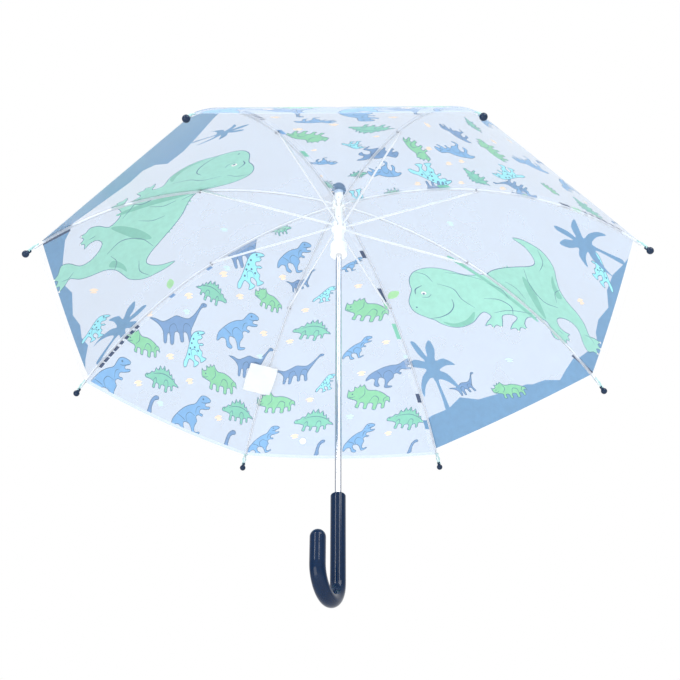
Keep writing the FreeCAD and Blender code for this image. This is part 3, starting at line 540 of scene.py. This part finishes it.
# Short darker marks where a seam doubles the print: from, to (along, mm) and ink, by rib.
SEAM_MARKS = {
    2: [
        (97, 112, "navy"), (168, 192, "navy"), (193, 203, "green"), (228, 254, "teal"),
        (345, 358, "navy"), (385, 400, "hill"),
    ],
    4: [(a, a + 7, "navy") for a in range(334, 405, 10)] + [(205, 212, "slate"), (268, 276, "slate")],
    6: [(a, a + 4, "navy") for a in range(250, 300, 8)] + [(120, 135, "teal"), (190, 205, "blue")],
    8: (
        [(322, 336, "navy"), (340, 352, "green")]
        + [(a, a + 7, "navy") for a in range(356, 408, 10)]
        + [(150, 165, "teal")]
    ),
}
# Where a tuck at the hem doubles the print beside a scene panel's middle rib.
DARTS = {
    1: [(3.5, 394), (7, 395), (-2.5, 438), (-7, 438)],
    5: [(-9, 388), (-5.5, 388), (-3, 436), (-7, 436)],
}
PANELS = {1: (8, 1), 3: (2, 3), 5: (4, 5), 7: (6, 7)}
OUTLINE_WIDTH = 0.0009
STROKE_HALF = 0.00045
SMALLEST_DOT = 0.0006
# Further out than any panel reaches, so that the hills run off both its sides.
FAR_OUT = 0.3


def smooth_loop(points, per_span=4):
    """Closed Catmull-Rom curve through the points: the cubic blend of four neighbours."""
    p = np.array(points, float)
    t = np.linspace(0, 1, per_span, endpoint=False)[None, :, None]
    a, b, c, d = (np.roll(p, s, 0)[:, None, :] for s in (1, 0, -1, -2))
    curve = b + 0.5 * t * (c - a + t * (2 * a - 5 * b + 4 * c - d + t * (3 * (b - c) + d - a)))
    return curve.reshape(-1, 2)


def inset(loop, by):
    """The loop moved inwards along its normals, which are its tangents turned a quarter."""
    tangent = np.roll(loop, -1, 0) - np.roll(loop, 1, 0)
    normal = np.stack([-tangent[:, 1], tangent[:, 0]], 1)
    normal /= np.maximum(np.linalg.norm(normal, axis=1, keepdims=True), 1e-12)
    x, y = loop[:, 0], loop[:, 1]
    area = 0.5 * np.sum(x * np.roll(y, -1) - np.roll(x, -1) * y)
    return loop + normal * by * (1 if area > 0 else -1)


def ribbon(points, half, per_span=4):
    """A thin closed shape along an open smooth curve, narrowing as a half sine to its ends."""
    p = np.asarray(points, float)
    p = np.vstack([2 * p[0] - p[1], p, 2 * p[-1] - p[-2]])
    t = np.linspace(0, 1, per_span, endpoint=False)[None, :, None]
    a, b, c, d = (p[i : len(p) - 3 + i][:, None, :] for i in range(4))
    curve = b + 0.5 * t * (c - a + t * (2 * a - 5 * b + 4 * c - d + t * (3 * (b - c) + d - a)))
    curve = np.vstack([curve.reshape(-1, 2), p[-2]])
    tangent = np.gradient(curve, axis=0)
    normal = np.stack([-tangent[:, 1], tangent[:, 0]], 1)
    normal /= np.maximum(np.linalg.norm(normal, axis=1, keepdims=True), 1e-12)
    swell = half * (0.35 + 0.65 * np.sin(np.linspace(0, math.pi, len(curve))))[:, None]
    return np.vstack([curve + normal * swell, (curve - normal * swell)[::-1]])


def dot(middle, radius, sides=8):
    """A small round mark."""
    turn = np.arange(sides) * 2 * math.pi / sides
    return np.array(middle) + radius * np.stack([np.cos(turn), np.sin(turn)], 1)


def seated(shape, place):
    """Outline points carried to their place: x along the run from tail to nose, y square to it
    on the side of the cap."""
    across, along, run_x, run_y = (v * MM for v in place)
    run = np.array([run_x, run_y])
    side = np.array([run_y, -run_x])
    if side[1] > 0:
        side = -side
    shape = np.asarray(shape, float)
    return np.array([across, along]) + (shape[:, :1] - 0.5) * run + shape[:, 1:] * side


def small_prints(rib):
    """Kind and place of each small print beside a rib, in the order of printing."""
    listed = (rib, SHARED) if rib == SHARED[0] else (rib,)
    found = [row[1:] for row in PRINTS if row[0] in listed]
    if rib == SHARED[1]:
        both = [row[1:] for row in PRINTS if row[0] == SHARED]
        found += [(kind, -across, along, -run_x, run_y) for kind, across, along, run_x, run_y in both]
    return found


def panel_prints(rib):
    """Closed outlines and inks of everything printed on the two gores beside a rib, in the order
    of printing, as (outline, ink) in metres across from the rib and along from the cap."""
    found = []
    if rib in HILLS:
        line = np.array(HILLS[rib]) * MM
        if line[0, 0] > line[-1, 0]:
            line = line[::-1]
        foot = np.linspace(FAR_OUT, -FAR_OUT, 61)
        width = chord(HEM)
        base = hem_at(np.abs(foot) - width / 2, width, HEM_BULGE["scene"]) - HEM_BAND
        ends = [[-FAR_OUT, line[0, 1]]], [[FAR_OUT, line[-1, 1]]]
        found.append((np.vstack([ends[0], line, ends[1], np.stack([foot, base], 1)]), "hill"))
    if rib in LARGE_PLACES:
        body = smooth_loop(beside(rib, LARGE_OUTLINE), 3)
        start, end, count, height = LARGE_SPINES
        found.append((spines(*beside(rib, [start, end]), count, height), "shade"))
        found += [(body, "line"), (inset(body, OUTLINE_WIDTH), "mint")]
        found += [(smooth_loop(beside(rib, patch)), "shade") for patch in LARGE_PATCHES]
        found.append((smooth_loop(np.array(LARGE_FOLDS[rib]) * MM), "shade"))
        found += [(ribbon(beside(rib, line), half * MM), "line") for line, half in LARGE_LINES]
        for middle, radius, colour in LARGE_DOTS:
            found.append((dot(beside(rib, middle)[0], radius * MM, 12), colour))
    for kind, *place in small_prints(rib):
        outline, colour, edged, marks = KINDS[kind]
        body = seated(smooth_loop(SHAPES[outline], 3), place)
        if edged:
            found.append((body, "line"))
            body = inset(body, OUTLINE_WIDTH)
        found.append((body, colour))
        length = math.hypot(place[2], place[3]) * MM
        for line in STROKES.get(outline, []) if edged else []:
            found.append((ribbon(seated(line, place), STROKE_HALF), "line"))
        for x, y, size in marks:
            radius = max(size * length, SMALLEST_DOT)
            found.append((dot(seated([(x, y)], place)[0], radius, 6), "line"))
    if rib in DARTS:
        found.append((np.array(DARTS[rib]) * MM, "navy"))
    return found


def beside(rib, points):
    """Points of the large reptile carried to their place beside a rib, in metres."""
    shift, start, stretch = LARGE_PLACES[rib]
    p = np.array(points, float).reshape(-1, 2)
    return np.stack([p[:, 0] + shift, start + (p[:, 1] - 170.0) * stretch], 1) * MM


def spines(start, end, count, height):
    """A saw edge along a line: each tooth is a triangle on the side of the cap."""
    t = np.linspace(0, 1, 2 * count + 1)[:, None]
    line = start + (end - start) * t
    side = np.array([(end - start)[1], -(end - start)[0]])
    side *= height * MM / np.linalg.norm(side) * (1 if side[1] < 0 else -1)
    teeth = line + side * np.where(np.arange(2 * count + 1) % 2, 1.0, -0.6)[:, None]
    return np.vstack([teeth, (line - 1.2 * side)[::-1]])


def inside(points, loop):
    """Which points lie in a closed outline, by counting the edges that a ray from each crosses."""
    x, y = points[:, :1], points[:, 1:]
    x0, y0 = loop[:, 0][None], loop[:, 1][None]
    x1, y1 = np.roll(loop[:, 0], -1)[None], np.roll(loop[:, 1], -1)[None]
    spans = (y0 > y) != (y1 > y)
    rise = np.where(y1 == y0, 1e-12, y1 - y0)
    return (np.sum(spans & (x < (x1 - x0) * (y - y0) / rise + x0), axis=1) % 2).astype(bool)


EDGE_ROWS = 60
HEM_COLUMNS = 41
BAND_COLUMNS = 40


def gore_border(width, bulge):
    """Outline of a flat gore: along one seam, the neck and the other seam, whose half distance is
    half the chord at each arc length, and back along the hem's parabola."""
    rows = np.linspace(0, 1, EDGE_ROWS)[1:]
    left = np.stack([-chord(rows * HEM) / 2, rows * HEM], 1)[::-1]
    right = np.stack([chord(rows * HEM) / 2, rows * HEM], 1)
    top = np.array([(-chord(0) / 2, 0), (chord(0) / 2, 0)])
    hem_x = np.linspace(width / 2, -width / 2, HEM_COLUMNS)[1:-1]
    hem = np.stack([hem_x, hem_at(hem_x, width, bulge)], 1)
    return np.vstack([left, top, right, hem])


def inner_points():
    """A square grid of points inside a flat gore, so that its triangles can bend with the ribs."""
    reach = np.arange(-0.15, 0.1501, FILM_STEP)
    across, along = np.meshgrid(reach, np.arange(0.004, HEM, FILM_STEP))
    grid = np.stack([across.ravel(), along.ravel()], 1)
    return grid[np.abs(grid[:, 0]) < chord(grid[:, 1]) / 2 - 0.001]


def prints_on(rib, side):
    """The prints beside a rib that reach the gore on one side of it, carried from the rib to the
    gore's own middle: half a chord across at each arc length."""
    found = []
    for loop, colour in panel_prints(rib):
        moved = loop.copy()
        moved[:, 0] -= side * chord(loop[:, 1]) / 2
        half = chord(moved[:, 1]) / 2 + 0.002
        if np.any(np.abs(moved[:, 0]) < half):
            found.append((moved, colour))
    return found


def cut_along(loops, line, grid):
    """Triangles through closed loops, an open line and loose points, none crossing an edge of
    the loops or the line: a constrained Delaunay triangulation."""
    edges, start = [], 0
    for loop in loops:
        index = np.arange(len(loop)) + start
        edges.append(np.stack([index, np.roll(index, -1)], 1))
        start += len(loop)
    index = np.arange(len(line)) + start
    edges.append(np.stack([index[:-1], index[1:]], 1))
    points = [Vector(p) for p in np.vstack([*loops, line, grid]).tolist()]
    made = delaunay_2d_cdt(points, np.vstack(edges).tolist(), [], 0, 1e-6)
    return np.array([tuple(v) for v in made[0]]), np.array(made[2])


def gore_mesh(number):
    """Flat triangles of one gore, cut along the edges of its prints, with an ink for each: the
    last print over a triangle's middle, or the hem's band past the band's line."""
    rib = next(r for r, pair in PANELS.items() if number in pair)
    width = chord(HEM)
    bulge = HEM_BULGE["scene" if rib in HILLS else "pattern"]
    band = HEM_BAND if rib in HILLS else HEM_BAND * 0.5
    border = gore_border(width, bulge)
    prints = prints_on(rib, -1 if PANELS[rib][0] == number else 1)
    band_x = np.linspace(-width / 2, width / 2, BAND_COLUMNS)
    band_line = np.stack([band_x, hem_at(band_x, width, bulge) - band], 1)
    loops = [border] + [outline for outline, _ in prints]
    flat, faces = cut_along(loops, band_line, inner_points())
    middle = flat[faces].mean(1)
    keep = inside(middle, border)
    faces, middle = faces[keep], middle[keep]
    colour_of = np.zeros(len(faces), int)
    for loop, colour in prints:
        low, high = loop.min(0), loop.max(0)
        near = np.all((middle >= low) & (middle <= high), axis=1)
        if near.any():
            hit = np.flatnonzero(near)[inside(middle[near], loop)]
            colour_of[hit] = INK_NAMES.index(colour)
    past = middle[:, 1] > hem_at(middle[:, 0], width, bulge) - band
    colour_of[past] = INK_NAMES.index("band" if rib in HILLS else "double_hem")
    used = np.unique(faces)
    renumber = np.zeros(len(flat), int)
    renumber[used] = np.arange(len(used))
    return flat[used], renumber[faces], colour_of


def piece(name, points, faces, body, materials, colour_of=None, smooth=True):
    """A mesh object at the origin that rides on a body."""
    mesh = bpy.data.meshes.new(name)
    rows = faces if isinstance(faces, list) else faces.tolist()
    mesh.from_pydata(np.asarray(points).tolist(), [], rows)
    for m in materials:
        mesh.materials.append(m)
    if colour_of is not None:
        mesh.polygons.foreach_set("material_index", np.asarray(colour_of, np.int32))
    mesh.polygons.foreach_set("use_smooth", np.full(len(mesh.polygons), smooth))
    mesh.update()
    made = bpy.data.objects.new(name, mesh)
    bpy.context.scene.collection.objects.link(made)
    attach(made, body)
    return made


def grid_faces(rows, columns, closed=False):
    """Quads of a grid of points stored row by row; closed joins the last column to the first."""
    r, c = np.meshgrid(np.arange(rows - 1), np.arange(columns if closed else columns - 1), indexing="ij")
    a = r * columns + c
    b = r * columns + (c + 1) % columns
    return np.stack([a, b, b + columns, a + columns], -1).reshape(-1, 4)


# ---------------------------------------------------------------- canopy


def fold_with_gore(made):
    """The piece gets its own copy of its mesh data."""
    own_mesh(made)


SEAM_LIFT = -0.0004
SEAM_REACH = 0.0095
SEAM_START = 0.03
SEAM_GRID = (206, 9)
FOLD_HALF = 0.0022
# Which side of a seam its spare edge lies on: 1 towards the next gore, -1 towards the one before.
SEAM_SIDE = {2: 1, 4: -1, 6: 1, 8: -1}


def seam_strip(rib):
    """A narrow second layer of film over a rib's line, as a grid across and along it: on each
    side it lies SEAM_LIFT off that side's gore, and its marks are rows of the grid."""
    side = SEAM_SIDE.get(rib, 0)
    columns = np.linspace(-FOLD_HALF, SEAM_REACH if side else FOLD_HALF, SEAM_GRID[1])
    if side < 0:
        columns = -columns[::-1]
    rows = np.linspace(SEAM_START, HEM - 0.001, SEAM_GRID[0])
    across, along = np.meshgrid(columns, rows)
    half = chord(along) / 2
    after = on_gore(rib, across - half, along, SEAM_LIFT)
    before = on_gore(rib - 1 if rib > 1 else RIBS, across + half, along, SEAM_LIFT)
    points = np.where((across >= 0)[..., None], after, before)
    middle = (rows[1:] + rows[:-1]) / 2 / MM
    colours = np.full((len(middle), len(columns) - 1), INK_NAMES.index("double"))
    for low, high, colour in SEAM_MARKS.get(rib, []):
        hit = (middle > low) & (middle < high)
        marked = range(3, 7) if side > 0 else range(1, 5)
        colours[np.ix_(hit, marked)] = INK_NAMES.index(colour)
    return points.reshape(-1, 3), grid_faces(len(rows), len(columns)), colours.ravel()


def seam(rib):
    """The folded seam over one rib."""
    points, faces, colours = seam_strip(rib)
    body = f"rib_arm_{rib}"
    piece(f"canopy_seam_{rib}", points, faces, body, INKS.values(), colours)


def film_panel(number):
    """One gore of printed film: its flat triangles laid on the ribs' chord, faces outwards."""
    flat, faces, colours = gore_mesh(number)
    points = on_gore(number, flat[:, 0], flat[:, 1])
    a, b, c = (points[faces[:, k]] for k in range(3))
    inward = np.sum(np.cross(b - a, c - a) * points[faces].mean(1), axis=1) < 0
    faces[inward] = faces[inward][:, ::-1]
    body = f"canopy_gore_{number}"
    film = piece(f"canopy_film_{number}", points, faces, body, INKS.values(), colours)
    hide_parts(f"gore_{number}")
    fold_with_gore(film)


for rib in range(1, RIBS + 1):
    seam(rib)
for number in range(1, RIBS + 1):
    film_panel(number)

# ---------------------------------------------------------------- corner tabs

TAB_WIDTH = 0.0052
TAB_START = 0.0045
TAB_LENGTH = 0.0165
TAB_BOW = 0.0011
TAB_THICK = 0.0019
TAB_THINNING = 0.0011
TAB_RINGS = 15
TAB_SIDES = 16


def corner_tab(rib):
    """A flattened loop from the film's corner to the ball: ellipses along a spine that bows out
    by a half sine. Their width swells at both ends as a squared cosine and they thin evenly."""
    turn = 2 * HALF_PITCH * (rib - 0.5)
    slope = math.asin(CANOPY_RADIUS / BOW_RADIUS)
    tip = np.array([CANOPY_RADIUS, BOW_CENTRE + math.sqrt(BOW_RADIUS**2 - CANOPY_RADIUS**2)])
    run = np.array([-math.cos(slope), math.sin(slope)])
    proud = np.array([math.sin(slope), math.cos(slope)])
    t = np.linspace(0, 1, TAB_RINGS)
    around = np.linspace(0, 2 * math.pi, TAB_SIDES + 1)[:-1]
    back = TAB_START + TAB_LENGTH * t
    spine = tip + run * back[:, None] + proud * (TAB_BOW * np.sin(math.pi * t))[:, None]
    half = TAB_WIDTH / 2 * (0.75 + 0.35 * np.cos(2 * math.pi * t) ** 2)
    thick = TAB_THICK - TAB_THINNING * t
    ring_x = half[:, None] * np.cos(around)
    ring_n = thick[:, None] * np.sin(around)
    out = spine[:, :1] + math.sin(slope) * ring_n
    up = spine[:, 1:] + math.cos(slope) * ring_n
    x = out * math.cos(turn) - ring_x * math.sin(turn)
    y = out * math.sin(turn) + ring_x * math.cos(turn)
    rings = np.stack([x, y, up], -1)
    points = np.vstack([rings.reshape(-1, 3), rings[0].mean(0), rings[-1].mean(0)])
    faces = grid_faces(TAB_RINGS, TAB_SIDES, closed=True).tolist()
    last = (TAB_RINGS - 1) * TAB_SIDES
    near_pole, far_pole = len(points) - 2, len(points) - 1
    for i in range(TAB_SIDES):
        j = (i + 1) % TAB_SIDES
        faces.append((j, i, near_pole))
        faces.append((last + i, last + j, far_pole))
    return points, faces


def outward(mesh_object):
    """Recalculates a closed mesh's faces to point outwards."""
    work = bmesh.new()
    work.from_mesh(mesh_object.data)
    bmesh.ops.recalc_face_normals(work, faces=work.faces)
    work.to_mesh(mesh_object.data)
    work.free()
    return mesh_object


for rib in range(1, RIBS + 1):
    points, faces = corner_tab(rib)
    outward(piece(f"corner_tab_{rib}", points, faces, f"rib_arm_{rib}", [TAB]))

# ---------------------------------------------------------------- care label

LABEL_SIDE = 0.043
LABEL_GRID = 41
LABEL_THICK = 0.0004


def node_points(name):
    """The vertices of a CAD node's mesh, one to a row."""
    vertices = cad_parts[name].data.vertices
    found = np.empty(3 * len(vertices), np.float32)
    vertices.foreach_get("co", found)
    return found.reshape(-1, 3).astype(float)


def square_axes(corners):
    """Middle, two edge directions and upper normal of a flat square's corners: the normal is the
    way in which they spread least, and the edges stand at 45 degrees to the diagonal through the
    corner farthest from the middle."""
    middle = corners.mean(0)
    _, _, axes = np.linalg.svd(corners - middle)
    normal = axes[2] * (1 if axes[2][2] > 0 else -1)
    far_corner = max(corners - middle, key=np.linalg.norm)
    diagonal = far_corner - normal * (far_corner @ normal)
    diagonal /= np.linalg.norm(diagonal)
    square = np.cross(normal, diagonal)
    return middle, (diagonal + square) / math.sqrt(2), (square - diagonal) / math.sqrt(2), normal


def care_tag():
    """A limp woven square: a flat grid whose corners draw in with the square of the product of
    both ways across, crumpled along its normal by three sine waves and lower at its stitches."""
    middle, edge_x, edge_y, normal = square_axes(node_points("care_label"))
    way = np.linspace(-1, 1, LABEL_GRID)
    s, t = np.meshgrid(way, way)
    crumple = 0.0009 * np.sin(3.1 * s + 1.3 * t) * np.cos(2.3 * t)
    crumple = crumple + 0.0005 * np.sin(7 * s * t + 1) + 0.0004 * np.cos(9 * (s - 0.4 * t))
    stitch = np.where(np.maximum(np.abs(s), np.abs(t)) > 0.9, -0.00015, 0.0)
    drawn_in = 1 - 0.02 * (s * t)[..., None] ** 2
    across = (s[..., None] * edge_x + t[..., None] * edge_y) * LABEL_SIDE / 2 * drawn_in
    points = (middle + across + normal * (crumple + stitch)[..., None]).reshape(-1, 3)
    faces = grid_faces(LABEL_GRID, LABEL_GRID)
    label = piece("care_tag", points, faces, "rib_arm_3", [CLOTH])
    thicken = label.modifiers.new("cloth", "SOLIDIFY")
    thicken.thickness = LABEL_THICK
    thicken.offset = 0
    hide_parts("care_label")
    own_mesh(label)


care_tag()

# ---------------------------------------------------------------- closing strap and its stud

SNAP_GORE = 2
STUD_RADIUS = 0.00475
STUD_SIDES = 32
STRAP_WIDTH = 0.015
STRAP_LENGTH = 0.092
STRAP_LAP = 0.008
STRAP_LIFT = 0.0004
STRAP_RIPPLE = 0.0002


def stud_place():
    """Where the stud stands on its gore: across from the middle and along from the cap."""
    x, y, _ = node_points("snap_cap").mean(0)
    turn = 2 * HALF_PITCH * SNAP_GORE
    out = (x * math.cos(turn) + y * math.sin(turn)) / math.cos(HALF_PITCH)
    return float(-x * math.sin(turn) + y * math.cos(turn)), float(np.interp(out, OUT, ALONG))


STUD_ACROSS, STUD_ALONG = stud_place()


def stud_shell(profile):
    """A turned button on the film: rings of a profile of (share of the radius, height)."""
    around = np.linspace(0, 2 * math.pi, STUD_SIDES + 1)[:-1]
    share, height = (np.array(v)[:, None] for v in zip(*profile))
    across = STUD_ACROSS + STUD_RADIUS * share * np.cos(around)
    along = STUD_ALONG + STUD_RADIUS * share * np.sin(around)
    points = on_gore(SNAP_GORE, across, along, height + 0 * around)
    return points.reshape(-1, 3), grid_faces(len(profile), STUD_SIDES, closed=True)


def rounded(low, high):
    """Profile of a low dome with a rolled edge, from its foot's centre to its top's centre."""
    shape = [
        (1e-4, 0), (0.9, 0), (0.98, 0.15), (1.0, 0.35), (0.97, 0.6), (0.86, 0.78), (0.6, 0.8),
        (0.5, 0.74), (0.35, 0.9), (0.15, 1), (1e-4, 1),
    ]
    return [(share, low + (high - low) * rise) for share, rise in shape]


def press_button(name, node, low, high):
    """One side of the press stud, from a height low off the film to a height high."""
    points, faces = stud_shell(rounded(low, high))
    body = f"canopy_gore_{SNAP_GORE}"
    button = outward(piece(name, points, faces, body, [WHITE_PAINTED_GLOW]))
    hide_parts(node)
    fold_with_gore(button)


def closing_band():
    """A strap on the film: a grid whose width draws in evenly past the stud, just off the film
    and rippled by a sine along it."""
    s, t = np.meshgrid(np.linspace(0, 1, 61), np.linspace(-0.5, 0.5, 9))
    end = STUD_ACROSS + STRAP_LAP
    across = end - STRAP_LENGTH + STRAP_LENGTH * s
    along = STUD_ALONG + STRAP_WIDTH * t * (1 - 0.25 * np.clip((s - 0.93) / 0.07, 0, 1))
    lift = STRAP_LIFT + STRAP_RIPPLE * np.sin(40 * s) * np.cos(3 * t)
    points = on_gore(SNAP_GORE, across, along, lift).reshape(-1, 3)
    body = f"canopy_gore_{SNAP_GORE}"
    strap = piece("closing_band", points, grid_faces(9, 61), body, [CLEAR_BAND])
    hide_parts("closing_strap")
    fold_with_gore(strap)


press_button("press_stud", "snap_cap", 0.0006, 0.0027)
press_button("press_stud_back", "snap_back", -0.0004, -0.0017)
closing_band()

# ---------------------------------------------------------------- finishes of the carried-over parts

NODE_FINISH = {
    "shaft": STEEL,
    "top_catch": SPRING,
    "bottom_catch": SPRING,
    "crown_wire": SPRING,
    "runner_wire": SPRING,
    "crown_pin": SPRING,
    "sleeve_pin": SPRING,
    "crown": WHITE_PAINTED_GLOW,
    "stop_sleeve": WHITE_PAINTED_GLOW,
    "runner": WHITE_PAINTED_GLOW,
    "top_washer": NAVY,
    "cap": NAVY,
    "handle": GRIP,
}
FAMILY_FINISH = {"rib": ZINC, "stretcher": ZINC, "rivet": RIVET, "tip": NAVY}
for name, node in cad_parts.items():
    finish = NODE_FINISH.get(name) or FAMILY_FINISH.get(name.rsplit("_", 1)[0])
    if finish is not None:
        node.data.materials.clear()
        node.data.materials.append(finish)

# ---------------------------------------------------------------- floor, light and camera

FLOOR_HEIGHT = -0.95
FLOOR_REACH = 30.0


def pale_floor():
    """A wide level sheet below the object."""
    mesh = bpy.data.meshes.new("floor")
    square = [(-1, -1), (1, -1), (1, 1), (-1, 1)]
    points = [(x * FLOOR_REACH, y * FLOOR_REACH, FLOOR_HEIGHT) for x, y in square]
    mesh.from_pydata(points, [], [(0, 1, 2, 3)])
    floor = bpy.data.objects.new("floor", mesh)
    bpy.context.scene.collection.objects.link(floor)
    paint = linear(250, 250, 250)
    mesh.materials.append(
        finish_of("pale_floor", paint, 0.9, grain=5, spread=0.01, bump=0.0, gloss=0.1, glow=0.08)
    )


def studio_world():
    """White to the camera. To everything else it is white in front and behind and darker to the
    left and right, which draws a dark edge down shiny round parts."""
    world = bpy.data.worlds.new("studio")
    bpy.context.scene.world = world
    world.use_nodes = True
    nodes, links = world.node_tree.nodes, world.node_tree.links
    nodes.clear()
    output = nodes.new("ShaderNodeOutputWorld")
    seen = nodes.new("ShaderNodeBackground")
    seen.inputs["Color"].default_value = (1.0, 1.0, 1.0, 1.0)
    seen.inputs["Strength"].default_value = 1.0
    lit = nodes.new("ShaderNodeBackground")
    lit.inputs["Strength"].default_value = 1.0
    place = nodes.new("ShaderNodeTexCoord")
    split = nodes.new("ShaderNodeSeparateXYZ")
    links.new(place.outputs["Generated"], split.inputs["Vector"])
    sideways = nodes.new("ShaderNodeMath")
    sideways.operation = "ABSOLUTE"
    links.new(split.outputs["X"], sideways.inputs[0])
    fall = nodes.new("ShaderNodeValToRGB")
    fall.color_ramp.elements[0].position = 0.6
    fall.color_ramp.elements[0].color = (1.0, 1.0, 1.0, 1.0)
    fall.color_ramp.elements[1].position = 0.95
    fall.color_ramp.elements[1].color = (0.45, 0.48, 0.54, 1.0)
    links.new(sideways.outputs["Value"], fall.inputs["Fac"])
    links.new(fall.outputs["Color"], lit.inputs["Color"])
    path = nodes.new("ShaderNodeLightPath")
    mix = nodes.new("ShaderNodeMixShader")
    links.new(path.outputs["Is Camera Ray"], mix.inputs["Fac"])
    links.new(lit.outputs["Background"], mix.inputs[1])
    links.new(seen.outputs["Background"], mix.inputs[2])
    links.new(mix.outputs["Shader"], output.inputs["Surface"])


def soft_box(name, place, aim, size, watts):
    """A square area light at a place, turned to a point."""
    data = bpy.data.lights.new(name, "AREA")
    data.size = size
    data.energy = watts
    made = bpy.data.objects.new(name, data)
    made.location = place
    made.rotation_euler = (Vector(aim) - Vector(place)).to_track_quat("-Z", "Y").to_euler()
    bpy.context.scene.collection.objects.link(made)
    return made


def strip(name, place, aim, width, height, watts):
    """An upright narrow area light at a place, turned to a point."""
    made = soft_box(name, place, aim, width, watts)
    made.data.shape = "RECTANGLE"
    made.data.size_y = height


pale_floor()
studio_world()
soft_box("key", (1.6, -1.8, 1.9), (0, 0, 0.35), 1.2, 26)
soft_box("low_fill", (-1.2, -1.6, -0.7), (0, 0, 0.35), 1.4, 20)
strip("left_strip", (-1.35, -1.75, 1.55), (0, 0, 0), 0.34, 1.5, 16)
strip("right_strip", (0.8, -2.05, 1.55), (0, 0, 0), 0.34, 1.5, 16)

# The camera looks at the middle of the ribs' tips, from below. Angles are in radians, and the
# range and slide in canopy radii.
CAMERA_LENS = 60.78
CAMERA_RISE = -0.615665
CAMERA_ROLL = 0.001404
CAMERA_TURN = 0.0105894
CAMERA_RANGE = 3.708222
CAMERA_SLIDE = (0.0047647, -0.0382444)
RIM_HEIGHT = 0.28365


def camera_place():
    """The camera's matrix: back along its own axis by the range, moved sideways and up by the
    slide, rolled, and turned about the upright through the rim's middle."""
    back = np.array([0, -math.cos(CAMERA_RISE), math.sin(CAMERA_RISE)])
    level = np.array([1.0, 0, 0])
    tall = np.cross(level, -back)
    right = math.cos(CAMERA_ROLL) * level + math.sin(CAMERA_ROLL) * tall
    above = -math.sin(CAMERA_ROLL) * level + math.cos(CAMERA_ROLL) * tall
    slide = right * CAMERA_SLIDE[0] + above * CAMERA_SLIDE[1]
    spot = (back * CAMERA_RANGE + slide) * CANOPY_RADIUS
    turned = Matrix.Rotation(CAMERA_TURN, 3, "Z")
    facing = turned @ Matrix((right, above, back)).transposed()
    middle = Vector((0, 0, RIM_HEIGHT))
    return Matrix.Translation(turned @ Vector(spot) + middle) @ facing.to_4x4()


camera_data = bpy.data.cameras.new("camera")
camera_data.lens = CAMERA_LENS
camera_data.sensor_width = 36.0
camera = bpy.data.objects.new("camera", camera_data)
camera.matrix_world = camera_place()
bpy.context.scene.collection.objects.link(camera)
bpy.context.scene.camera = camera
bpy.context.scene.view_settings.view_transform = "Standard"
